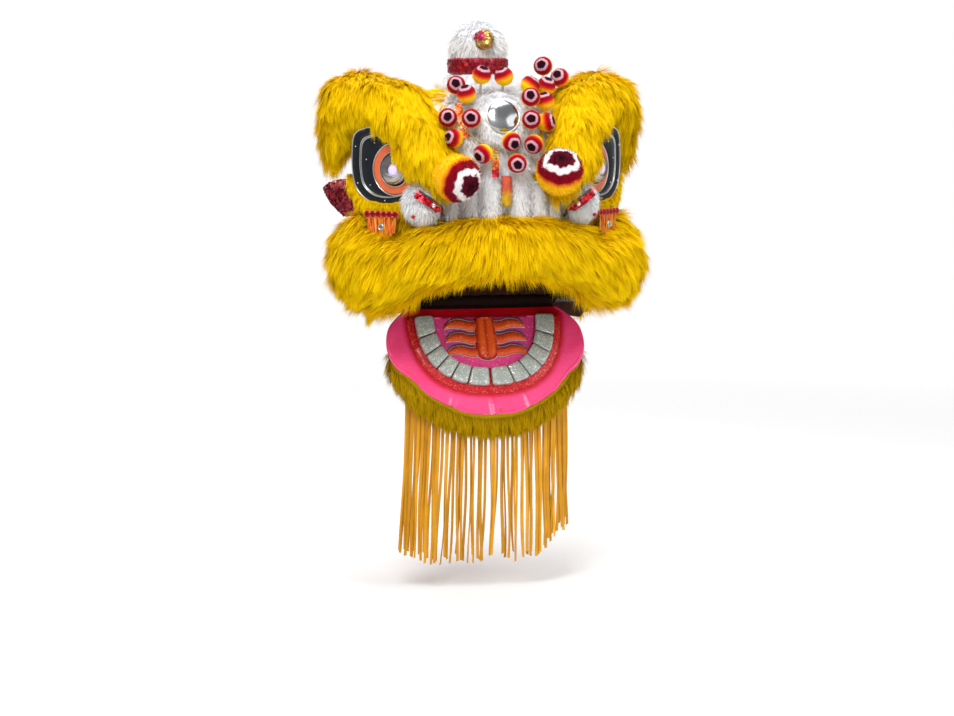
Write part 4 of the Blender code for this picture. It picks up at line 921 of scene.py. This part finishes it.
# Painted shade: the fuzz darkens towards its roots and over the cloth beneath it.
strip_paint.feed(Base_Color=strip_paint.shade(dye, 0.72 + 0.35 * strip_paint.value("along")))
hide = skin_of("nose_strip", 0.003, 3, 0.0015, None)
fuzz = grow(hide, 5200, 0.007, 0.0011, 0.62, (0, -0.2, -0.8), 75, strip_paint, lock=8)
parts = []
for points, faces, values in ((hide[0], hide[1], {"along": 0.0}), (fuzz[0], fuzz[1], fuzz[3])):
    height = (points[:, 2] - strip_low[2]) / (strip_high[2] - strip_low[2]) / STRIP_TOP
    faces = faces[height[faces].max(1) < 1]
    parts.append((points, faces, strip_paint, {**values, "height": height}))
show("nose_strip_wool", "head", parts, ["nose_strip"])


# Trims: gold braid and sequin motifs sewn among the forehead's fur and red sequin
# brackets edged in black along each nostril, all laid on the pieces that carry them.
PHOTO_WIDTH, PHOTO_HEIGHT = 954, 716


def seen_at(x, y, names, lift):
    """The place that the camera sees on named nodes at a pixel, lifted off it, and its normal."""
    span = VIEW_SPAN / PHOTO_WIDTH
    aim = (np.array(VIEW_TARGET) + IMAGE_RIGHT * (x - PHOTO_WIDTH / 2) * span
           + IMAGE_UP * (PHOTO_HEIGHT / 2 - y) * span)
    eye = np.array(camera.location)
    hit, normal, _, _ = tree_of(names).ray_cast(Vector(eye), Vector(unit(aim - eye)))
    if hit is None:
        return None
    normal = np.array(normal)
    if np.dot(normal, IMAGE_BACK) < 0:
        normal = -normal
    return np.array(hit) + normal * lift, normal


BRAID_WAVE = 0.0012
gold_braid, _ = mottled("gold_braid", (0.55, 0.30, 0.03), (1.0, 0.80, 0.30), 600, 0.20, 0.2, Metallic=1.0)
black_trim = Paint("black_trim", Coat_Weight=0.3)
black_trim.feed(Base_Color=black_trim.mix((0.004, 0.004, 0.005), (0.03, 0.03, 0.035), black_trim.noise(300)),
                Roughness=0.35)
orange_sequin = sequin_paint("orange_sequin", (0.70, 0.08, 0.01), (1.0, 0.30, 0.05))
red_sequin = sequin_paint("red_sequin", (0.42, 0.0, 0.015), (0.90, 0.03, 0.05))
gem_paint = Paint("glass_gem", Metallic=0.8, Coat_Weight=1.0, Coat_Roughness=0.03)
gem_paint.feed(Base_Color=gem_paint.mix((0.55, 0.55, 0.58), (0.95, 0.95, 0.97), gem_paint.cells(500)),
               Roughness=0.08)
FOREHEAD = ["shell", "mirror_boss", "nose"]


def stitched(pixels, names, lift, step=0.0028, rows=2, spread=0.0022):
    """Places for sequins in rows along a path given by pixels."""
    hits = [h for h in (seen_at(x, y, names, lift) for x, y in pixels) if h]
    path, normals = np.array([h[0] for h in hits]), np.array([h[1] for h in hits])
    gaps = np.concatenate([[0], np.cumsum(np.linalg.norm(np.diff(path, axis=0), axis=1))])
    spots = np.arange(0, gaps[-1], step)
    line = np.stack([np.interp(spots, gaps, path[:, i]) for i in range(3)], 1)
    face = unit(np.stack([np.interp(spots, gaps, normals[:, i]) for i in range(3)], 1))
    side = unit(np.cross(face, np.gradient(line, axis=0)))
    offsets = (np.arange(rows) - (rows - 1) / 2) * spread * 2
    return (np.concatenate([line + side * o for o in offsets]), np.concatenate([face] * rows), line)


# where the trims lie in the photograph, in pixels
BRAID_PATH = [(461, 121), (464, 131), (471, 138), (483, 145), (498, 148), (511, 144), (519, 137)]
MOTIFS = [([(493, 149), (493, 161)], gold_sequin, 0.0038),
          ([(493, 161), (493, 170)], orange_sequin, 0.0038),
          ([(493, 170), (493, 177)], red_sequin, 0.0036),
          ([(459, 108), (460, 118), (466, 138)], orange_sequin, 0.0032),
          ([(547, 130), (548, 143)], gold_sequin, 0.0030)]
NOSTRIL_PATH = [(419, 196), (427, 202), (436, 208), (444, 213)]
LOW_GEM_PIXEL = (415, 214)
places, out, line = stitched(BRAID_PATH, FOREHEAD, 0.012, rows=1)
wave = BRAID_WAVE * np.sin(1.9 * np.arange(len(line)))[:, None]
parts = [(*tube(line + out * wave, 0.0013, 6), gold_braid, {})]
for pixels, paint, size in MOTIFS:
    places, out, _ = stitched(pixels, FOREHEAD, 0.011, rows=3)
    parts.append(sequins(places, out, size, 0.0, 77, paint))
show("forehead_trim", "head", parts)
parts = []
places, out, line = stitched(NOSTRIL_PATH, ["nostril_left", "nose"], 0.010, 0.0024, 3, 0.0026)
parts.append(sequins(places, out, 0.0036, 0.0, 79, red_sequin))
edge = line + unit(np.cross(out[:len(line)], np.gradient(line, axis=0))) * 0.0078
if edge[:, 2].mean() < line[:, 2].mean():
    edge = 2 * line - edge
parts.append((*tube(edge, 0.0022, 8), black_trim, {}))
parts.append((*bead(line[len(line) // 2] + out[0] * 0.003, 0.0052), gem_paint, {}))
low_gem, _ = seen_at(*LOW_GEM_PIXEL, ["nostril_left", "lip_roll", "lower_lid_left"], 0.011)
parts.append((*bead(low_gem, 0.0042), red_sequin, {"tint": 0.5}))
show("nostril_trim_left", "head", parts)
flipped = [(p * np.array((-1, 1, 1)), t[:, ::-1], paint, v) for p, t, paint, v in parts]
show("nostril_trim_right", "head", flipped)


# Lid fringes: a scalloped maroon sequin edge over a row of thin orange and yellow ribbons,
# with a small round mirror hung in the middle.
WEAVE_SCALE = 500
ribbon_orange, _ = mottled("orange_ribbon", (0.80, 0.10, 0.01), (1.0, 0.26, 0.03), WEAVE_SCALE, 0.35, 0.2,
                           Coat_Weight=0.2)
ribbon_yellow, _ = mottled("yellow_ribbon", (0.80, 0.42, 0.01), (1.0, 0.66, 0.03), WEAVE_SCALE, 0.35, 0.2,
                           Coat_Weight=0.2)
LID_RIBBONS = 36
# radius and height off the fringe, from the outside in
SEQUIN_PROFILE = [(0.0076, -0.002), (0.0076, 0.0), (0.0060, 0.0014), (0.0030, 0.0022)]
LITTLE_MIRROR_PROFILE = [(0.0058, -0.001), (0.0058, 0.0005), (0.0044, 0.0012), (0.0020, 0.0016)]
LID_FRINGE_MIDDLE = (0.19 * EYE_WIDTH, -1.24 * EYE_HEIGHT, 0.020)
for name, side in (("left", -1), ("right", 1)):
    rng = np.random.default_rng(81)
    out_middle, top, forward = LID_FRINGE_MIDDLE
    parts = []
    for k in range(LID_RIBBONS):
        share = (k + 0.5) / LID_RIBBONS * 2 - 1
        place = out_middle + share * 0.037
        length = 0.046 - 0.014 * abs(share) ** 1.5 + rng.uniform(-0.004, 0.004)
        t = np.linspace(0, 1, 8)
        sway = -share * 0.006 * t + 0.0012 * np.sin(5 * t + rng.uniform(0, 6))
        half = 0.0014 * (1 - 0.3 * t)
        depth = forward + rng.uniform(-0.0015, 0.0025) + 0.002 * np.sin(3 * t + k)
        flat = np.stack([place + sway, top - 0.005 - length * t], 1)
        ring = [on_eye(side, flat + np.array((s, 0)) * half[:, None], depth) for s in (-1, 1)]
        ribbon = ribbon_yellow if k % 4 == 1 else ribbon_orange
        parts.append((*loft(np.stack(ring, 1), closed=False), ribbon, {}))
    ring = around_ring(18)
    for k in range(6):
        middle = np.array((out_middle + (k - 2.5) * 0.0132, top - 0.002))
        discs = [on_eye(side, middle + ring * r * (1, 0.9), forward + 0.003 + h)
                 for r, h in SEQUIN_PROFILE]
        parts.append((*loft(discs), maroon_sequin, {"tint": 0.25 + 0.1 * (k % 3)}))
        stitching = on_eye(side, middle + ring * (0.0078, 0.0070), forward + 0.0034)
        parts.append((*tube(stitching, 0.0007, 5, True), ribbon_orange, {}))
        for turn in around_ring(6):
            spot = on_eye(side, middle + 0.0044 * turn, forward + 0.0050)
            parts.append((*bead(spot, 0.0011), red_sequin, {"tint": 0.6}))
    middle = np.array((out_middle, top - 0.027))
    discs = [on_eye(side, middle + ring * r, forward + 0.004 + h) for r, h in LITTLE_MIRROR_PROFILE]
    parts.append((*loft(discs), glass_paint, {}))
    rim = on_eye(side, middle + ring * 0.0060, forward + 0.0044)
    parts.append((*tube(rim, 0.0011, 6, True), silver_cord, {}))
    show("lid_fringe_trim_" + name, "head", parts, ["lid_fringe_" + name])


# Ears: leaf-shaped cloth pads behind the cheeks, sewn all over with maroon sequins that
# turn rose at the point.
EAR_SEQUINS, ROSE_DEPTH = 1500, 0.016
ear_cloth = Paint("ear_cloth", Roughness=0.6)
ear_cloth.feed(Base_Color=ear_cloth.mix((0.12, 0.0, 0.01), (0.30, 0.01, 0.03), ear_cloth.noise(200)))
for name, seed in (("left", 91), ("right", 92)):
    leaf = skin_of("ear_" + name, 0.0035, 3, 0.001, None)
    places, out = seated(leaf, EAR_SEQUINS, np.random.default_rng(seed))
    rose = (places[:, 2] > leaf[0][:, 2].max() - ROSE_DEPTH).astype(float)
    show("ear_sequins_" + name, "head", [
        (leaf[0], leaf[1], ear_cloth, {}),
        sequins(places, out, 0.0050, 0.0010, seed, maroon_sequin, {"rose": rose})], ["ear_" + name])


# Lower jaw: a broad board in pink vinyl rolled over a cord at its rim, puckered in three places
# and sprayed red round the teeth, on a dark cloth sleeve, darkened further as painted shade, that turns on
# the rod.
HINGE = np.array((0.0, -0.010, -0.060))
JAW_HALF_WIDTH, JAW_LENGTH, JAW_THICKNESS, JAW_DISH = 0.204, 0.250, 0.009, 0.006
JAW_DROOP = math.radians(64)
NECK_HALF_WIDTH, NECK_REACH, HEM_RADIUS = 0.149, (0.0085, 0.036), 0.0050
SLEEVE_HALF_WIDTH, SLEEVE_RADIUS = 0.155, 0.0100
ARCH_START, ARCH_POWER = 0.030, 0.8
INNER_ARCH, OUTER_ARCH, GUM_ARCH = (0.107, 0.121), (0.145, 0.159), (0.160, 0.174)
# share of the length and of the half width
JAW_ROWS = [(0.075, 0.76), (0.14, 0.86), (0.24, 0.965), (0.36, 1.00), (0.47, 0.985), (0.57, 0.92),
            (0.64, 0.825), (0.70, 0.765), (0.78, 0.68), (0.86, 0.55), (0.93, 0.40), (0.975, 0.25),
            (1.00, 0.09)]
# place across, height and breadth of the three puckers
PUCKERS = [(-0.088, 0.0028, 0.005), (0.002, 0.0036, 0.006), (0.080, 0.0028, 0.005)]


def on_jaw(x, length, height):
    """Points from widths, lengths along the jaw and heights over its board."""
    x, length, height = np.broadcast_arrays(np.asarray(x, float), length, height)
    dish = JAW_DISH * ((x / JAW_HALF_WIDTH) ** 2 + (length / JAW_LENGTH) ** 3)
    ahead = np.array((0, -math.cos(JAW_DROOP), -math.sin(JAW_DROOP)))
    normal = np.array((0, -math.sin(JAW_DROOP), math.cos(JAW_DROOP)))
    return (HINGE + x[..., None] * np.array((1.0, 0, 0)) + length[..., None] * ahead
            + (height + dish)[..., None] * normal)


def smooth_line(rows, count):
    """Rows of values drawn through a smooth open curve."""
    rows = np.array(rows, float)
    padded = np.vstack([2 * rows[0] - rows[1], rows, 2 * rows[-1] - rows[-2]])
    share = np.linspace(0, len(rows) - 1, count)
    k = np.minimum(share.astype(int), len(rows) - 2)
    t = (share - k)[:, None]
    return curve_through(*(padded[k + o] for o in range(4)), t)


def round_arch(half_width, depth, turn):
    """Widths and lengths along the squarish arch that the teeth stand on."""
    across, along = np.sin(turn), np.cos(turn)
    return (np.sign(across) * np.abs(across) ** ARCH_POWER * half_width,
            ARCH_START + depth * np.abs(along) ** ARCH_POWER)


pink_vinyl = Paint("pink_vinyl", Coat_Weight=0.25, Coat_Roughness=0.12, Specular_IOR_Level=0.35)
cloud = pink_vinyl.noise(18, 4, 0.55)
spray = pink_vinyl.clamp(pink_vinyl.value("red") * (0.85 + 0.3 * pink_vinyl.noise(120)))
pink = pink_vinyl.mix((0.95, 0.040, 0.19), (1.0, 0.085, 0.29), cloud)
pink_vinyl.feed(Base_Color=pink_vinyl.mix(pink, (0.56, 0.0, 0.008), spray),
                Roughness=0.20 + 0.25 * cloud)
pink_vinyl.bump(pink_vinyl.noise(70, 4, 0.6), 0.0016)
# Painted shade: the sleeve and neck cloth are darkened to near black, as shade inside the head.
shade_darkened_cloth = Paint("cloth_darkened_as_shade", Roughness=0.95, Specular_IOR_Level=0.1)
shade_darkened_cloth.feed(Base_Color=shade_darkened_cloth.mix((0.006, 0.003, 0.003), (0.020, 0.008, 0.007),
                                              shade_darkened_cloth.noise(300)))
rows = smooth_line(JAW_ROWS, 80)
length, half = rows[:, 0] * JAW_LENGTH, rows[:, 1] * JAW_HALF_WIDTH
across = np.linspace(-1, 1, 97)
x = half[:, None] * across[None]
along = np.broadcast_to(length[:, None], x.shape)
reach = (np.abs(x / GUM_ARCH[0]) ** 2.5
         + (np.clip(along - ARCH_START, 0, 1) / GUM_ARCH[1]) ** 2.5) ** 0.4
red = np.clip(1 - (reach - 1.0) / 0.085, 0, 1)
red = red * red * (3 - 2 * red)
red = np.maximum(red, np.clip((0.034 - along) / 0.010, 0, 1) * 0.9)
lift = np.zeros_like(x)
for foot, size, breadth in PUCKERS:
    line = foot * (0.55 + 0.45 * np.clip((along - 0.12) / 0.12, 0, 1))
    lift += size * np.exp(-((x - line) / breadth) ** 2) * np.clip((reach - 1.02) / 0.12, 0, 1)
lift += 0.0010 * np.sin(x * 55 + 3 * along * 30) * np.clip((reach - 1.05) / 0.2, 0, 1)
top = on_jaw(x, along, lift)
under = on_jaw(x, along, -JAW_THICKNESS)
board, faces = loft(top, closed=False)
under, under_faces = loft(under, closed=False)
inset = half - 0.003
edge = np.concatenate([np.stack([inset, length], 1), np.stack([-inset, length], 1)[::-1]])
hem = on_jaw(edge[:, 0], edge[:, 1] - 0.002 * (edge[:, 1] > 0.2), -0.0045)
neck_x, neck_length = np.meshgrid(np.linspace(-NECK_HALF_WIDTH, NECK_HALF_WIDTH, 41),
                                  np.linspace(*NECK_REACH, 7))
neck, neck_faces = loft(on_jaw(neck_x, neck_length, -0.0018), closed=False)
neck_under, neck_under_faces = loft(on_jaw(neck_x, neck_length, -0.0072), closed=False)
rod_x = np.linspace(-SLEEVE_HALF_WIDTH, SLEEVE_HALF_WIDTH, 60)
sleeve = np.stack([rod_x, np.full(60, HINGE[1]), np.full(60, HINGE[2])], 1)
show("jaw_vinyl", "jaw", [
    (board, faces, pink_vinyl, {"red": red.ravel()}),
    (under, under_faces[:, ::-1], pink_vinyl, {}),
    (*tube(hem, HEM_RADIUS, 10), pink_vinyl, {}),
    (neck, neck_faces, shade_darkened_cloth, {}), (neck_under, neck_under_faces[:, ::-1], shade_darkened_cloth, {}),
    (*tube(sleeve, SLEEVE_RADIUS + 0.0005 * np.sin(rod_x * 190), 20), shade_darkened_cloth, {})], ["jaw_board"])


# Gum and teeth: a bevelled band of red glitter vinyl, and twelve separate pads of silver
# glitter vinyl with rounded corners glued along it.
def glitter_paint(name, colour, glint_colour, rare=0.70):
    """Glitter flakes under a clear film, most of them dull and a few coloured as painted glints."""
    paint = Paint(name, Coat_Weight=0.25, Coat_Roughness=0.12, Specular_IOR_Level=0.35)
    flakes = paint.cells(520, "Color")
    # Painted glints: a few flakes take the glint colour whatever the light.
    painted_glint = paint.clamp((flakes - rare) * 9)
    dull = paint.shade(colour(paint) if callable(colour) else colour, 0.80 + 0.35 * flakes)
    paint.feed(Base_Color=paint.mix(dull, glint_colour, painted_glint), Metallic=painted_glint * 0.3,
               Roughness=0.42 - 0.25 * painted_glint)
    return paint.bump(flakes, 0.0006)


red_glitter = glitter_paint("red_glitter", (0.56, 0.0, 0.008), (1.0, 0.16, 0.14))
silver_glitter = glitter_paint("silver_glitter", (0.40, 0.46, 0.42), (1.0, 1.0, 1.0))
# arch, step inward from it, height
GUM_PROFILE = [(INNER_ARCH, 0.0, 0.0003), (GUM_ARCH, 0.0, 0.0003), (GUM_ARCH, 0.0005, 0.0009),
               (GUM_ARCH, 0.007, 0.0028), (GUM_ARCH, 0.015, 0.0050), (INNER_ARCH, 0.0, 0.0050)]
# share of a tooth's plan, height
TOOTH_PROFILE = [(1.0, 0.0053), (1.0, 0.0105), (0.985, 0.0130), (0.96, 0.0143), (0.85, 0.0152),
                 (0.40, 0.0158)]
turns = np.radians(np.linspace(-89, 89, 121))
section = []
for base, inward, high in GUM_PROFILE:
    section.append(on_jaw(*round_arch(base[0] - inward, base[1] - inward, turns), high))
show("gum_band", "jaw", [(*loft(np.stack(section, 1)), red_glitter, {})], ["gum"])
TOOTH_COUNT = 12
corner = around_ring(36)
square = np.sign(corner) * np.abs(corner) ** 0.24
parts = []
for k in range(TOOTH_COUNT):
    start, width = math.radians(89) * (2 * k / TOOTH_COUNT - 1), math.radians(89) * 2 / TOOTH_COUNT
    rings = []
    for scale, high in TOOTH_PROFILE:
        turn = start + width * (0.5 + 0.468 * square[:, 0] * scale)
        share = 0.5 + 0.5 * square[:, 1] * (1 - (1 - scale) * 0.7)
        half_width = INNER_ARCH[0] + (OUTER_ARCH[0] - INNER_ARCH[0]) * share
        depth = INNER_ARCH[1] + (OUTER_ARCH[1] - INNER_ARCH[1]) * share
        rings.append(on_jaw(*round_arch(half_width, depth, turn), high))
    parts.append((*loft(rings), silver_glitter, {}))
show("tooth_pads", "jaw", parts, ["teeth"])


# Palate and tongue: a pink glitter plate, and on it an orange padded tongue with two ridges
# and three flame scrolls to each side, all outlined in silver and black cord.
PALATE_HALF, PALATE_DEPTH = INNER_ARCH[0] - 0.0006, INNER_ARCH[1] - 0.0006
TONGUE_START, TONGUE_LENGTH, TONGUE_HALF_WIDTH, TONGUE_THICKNESS = 0.042, 0.092, 0.023, 0.010
TONGUE_LOW, SCROLL_HEIGHT = 0.0043, 0.005
SCROLL_PLACES = (0.16, 0.47, 0.78)
# share of the palate's half width, place along, breadth
SCROLL_ROWS = [(0.12, 0.000, 0.0086), (0.30, 0.0020, 0.0096), (0.48, -0.003, 0.0092),
               (0.66, -0.002, 0.0074), (0.79, 0.005, 0.0028)]
pink_glitter = glitter_paint(
    "pink_glitter", lambda p: p.mix((0.92, 0.060, 0.30), (0.42, 0.09, 0.38), p.value("purple")),
    (1.0, 0.62, 0.80), 0.84)
rings, purple = [], []
s = np.linspace(-1, 1, 61)
for degrees in np.linspace(88, 3, 50):
    half, length = round_arch(PALATE_HALF, PALATE_DEPTH, math.radians(degrees))
    rings.append(np.concatenate([on_jaw(half * s, length, 0.004), on_jaw(-half * s, length, 0.0004)]))
    off = np.abs(half * s)
    beside = np.clip((off - 0.026) / 0.010, 0, 1) * np.clip((0.088 - off) / 0.012, 0, 1)
    stripes = sum(np.exp(-((length - TONGUE_START - TONGUE_LENGTH * place - 0.0143) / 0.0065) ** 2)
                  for place in SCROLL_PLACES[:2])
    purple.append(np.concatenate([beside * stripes, 0 * s]))
plate, faces = loft(rings)
purple = np.concatenate([np.concatenate(purple), (0.0, 0.0)])
show("palate_plate", "jaw", [(plate, faces, pink_glitter, {"purple": purple})], ["palate"])
tongue_paint = glitter_paint(
    "orange_glitter", lambda p: p.mix((0.95, 0.115, 0.008), (0.50, 0.0, 0.005), p.value("edge")),
    (1.0, 0.60, 0.35), 0.84)
rings, edge = [], []
s = np.linspace(-1, 1, 31)
for along in np.linspace(0, 1, 44) ** 0.8:
    end = max(0.0, (along - 0.78) / 0.22)
    half = TONGUE_HALF_WIDTH * (0.84 + 0.16 * min(along / 0.5, 1))
    half *= math.sqrt(max(1 - end ** 2.2, 0.004))
    tall = TONGUE_THICKNESS * (0.85 + 0.15 * min(along / 0.2, 1)) * (1 - 0.45 * end ** 4)
    ridges = 0.70 + 0.30 * np.sin(math.pi * np.abs(s)) ** 2
    high = tall * ridges * np.sqrt(np.maximum(1 - np.abs(s) ** 5, 0))
    length = TONGUE_START + along * TONGUE_LENGTH
    rings.append(on_jaw(half * s, length, TONGUE_LOW + high))
    rim = np.clip((np.abs(s) - 0.55) / 0.35, 0, 1) + np.clip((along - 0.84) / 0.14, 0, 1)
    edge.append(np.clip(rim + 0.75 * np.exp(-(s / 0.13) ** 2), 0, 1))
ridge, faces = loft(rings)
parts = [(ridge, faces, tongue_paint, {"edge": np.concatenate([np.concatenate(edge), (1.0, 1.0)])})]
outline = np.array([(ring[0], ring[-1]) for ring in rings[4:]])
cord = np.concatenate([outline[:, 0], outline[::-1, 1]])
parts.append((*tube(cord + np.array((0, -0.0008, 0.0002)), 0.0009, 5), silver_cord, {}))
spread = np.linspace(math.pi, 0, 11)
SCROLL_CORDS = [(-1.12, 0.0008, silver_cord), (-1.42, 0.0009, black_trim), (1.12, 0.0008, silver_cord)]
for place in SCROLL_PLACES:
    for side in (-1, 1):
        rows = smooth_line(SCROLL_ROWS, 26)
        x = side * rows[:, 0] * PALATE_HALF
        middle = TONGUE_START + TONGUE_LENGTH * place + rows[:, 1]
        breadth = rows[:, 2]
        high = SCROLL_HEIGHT * np.sin(spread)[None] ** 0.6 * np.minimum(1, breadth / 0.004)[:, None]
        length = middle[:, None] + breadth[:, None] * np.cos(spread)[None]
        scroll, faces = loft(on_jaw(x[:, None], length, TONGUE_LOW + high))
        if side < 0:
            faces = faces[:, ::-1]
        shade = np.clip(0.75 - 0.8 * (0.5 + 0.5 * np.cos(spread)), 0, 1)
        shade = np.concatenate([np.tile(shade, len(rows)), (0.5, 0.5)])
        parts.append((scroll, faces, tongue_paint, {"edge": shade}))
        for share, radius, paint in SCROLL_CORDS:
            line = on_jaw(x, middle + share * breadth - 0.0002, TONGUE_LOW + 0.0008)
            parts.append((*tube(line, radius, 5), paint, {}))
show("tongue_pad", "jaw", parts, ["tongue"])


# Beard: two layers of narrow satin ribbons sewn under the jaw fur, cut by hand to nearly
# one level, a little shorter towards the image's right.
BEARD_FOOT, BEARD_RIBBONS = -0.580, 70
beard_satin = Paint("amber_satin", Specular_IOR_Level=0.3)
sheen = beard_satin.noise(35, 3)
tone = beard_satin.mix((0.30, 0.12, 0.003), (0.74, 0.34, 0.008), beard_satin.value("tint"))
beard_satin.feed(Base_Color=beard_satin.shade(tone, 0.80 + 0.4 * sheen), Roughness=0.30 + 0.25 * sheen)
beard_satin.bump(beard_satin.noise(900, 2), 0.0003)
JAW_FUR_RADIUS = 0.027
JAW_FUR_ROWS = [(0.93, 0.40), (0.90, 0.56), (0.77, 0.72), (0.60, 0.86), (0.33, 0.975), (0.00, 1.015)]
roll = smooth_line([(-w, l) for w, l in JAW_FUR_ROWS] + JAW_FUR_ROWS[-2::-1], 201)
rng = np.random.default_rng(97)
parts = []
for k in range(BEARD_RIBBONS):
    share = 0.17 + 0.66 * np.clip((k + rng.uniform(-0.6, 0.6)) / (BEARD_RIBBONS - 1), 0, 1)
    across, along = roll[int(share * 200)]
    top = on_jaw(across * JAW_HALF_WIDTH, along * JAW_LENGTH, -JAW_THICKNESS - JAW_FUR_RADIUS * 0.55)
    top = top + np.array((0, 0.004 * (k % 2) + 0.003, -0.008))
    away_right = np.clip((top[0] - 0.085) / 0.085, 0, 1)
    away_left = np.clip((-top[0] - 0.12) / 0.04, 0, 1)
    foot = BEARD_FOOT + rng.uniform(-0.010, 0.012) + 0.085 * away_right ** 1.5 + 0.02 * away_left
    sway = np.interp(top[0], (-0.17, -0.06, 0.05, 0.17), (-0.014, -0.008, 0.002, 0.004))
    sway += rng.normal(0, 0.004)
    t = np.linspace(0, 1, 18)
    phase = rng.uniform(0, math.tau, 3)
    line = np.stack([top[0] + sway * t ** 1.4 + 0.0026 * np.sin(5.5 * t + phase[0]) * t,
                     top[1] + 0.004 * np.sin(4.5 * t + phase[1]) * t,
                     top[2] + (foot - top[2]) * t], 1)
    turn = rng.normal(0.15, 0.30) + 0.45 * np.sin(3.5 * t + phase[2]) * t
    half = rng.uniform(0.0028, 0.0040) * (1 - 0.12 * t)
    side = np.stack([np.cos(turn), np.sin(turn), 0 * t], 1) * half[:, None]
    left_side, right_side = line - side, line + side
    left_side[-1, 2] += rng.uniform(-0.004, 0.004)
    crown = line + np.stack([np.sin(turn), -np.cos(turn), 0 * t], 1) * 0.0006
    ribbon, faces = loft(np.stack([left_side, crown, right_side], 1), closed=False)
    parts.append((ribbon, faces, beard_satin, {"tint": rng.uniform(0.25, 1.0) ** 0.8}))
show("beard_ribbons", "jaw", parts, ["beard"])


# Bars: a turned wooden bar to carry the head by, and the steel rod the jaw swings on,
# coloured near black as painted shade inside the head, with lighter bare metal in places.
wood_paint = Paint("ash_wood")
grain = wood_paint.node("TexNoise", {}, {"Vector": wood_paint.node("Mapping", {}, {
    "Vector": wood_paint.place(), "Scale": (4.0, 90.0, 90.0)}), "Scale": 3.0, "Detail": 5.0})
wood_paint.feed(Base_Color=wood_paint.mix((0.30, 0.15, 0.06), (0.62, 0.38, 0.17), grain),
                Roughness=0.40 + 0.25 * grain)
wood_paint.bump(grain, 0.0008)
steel_paint = Paint("steel_rod")
wear = steel_paint.noise(240, 4)
bare = steel_paint.clamp(3 * wear - 1.3)
# Painted shade: the rod is near black, as shade inside the head; the bare patches are lighter metal.
steel_paint.feed(Base_Color=steel_paint.mix((0.010, 0.010, 0.011), (0.16, 0.16, 0.17), bare),
                 Metallic=bare, Roughness=0.45 + 0.3 * wear)
coat_node("carry_bar", wood_paint)
coat_node("jaw_rod", steel_paint)
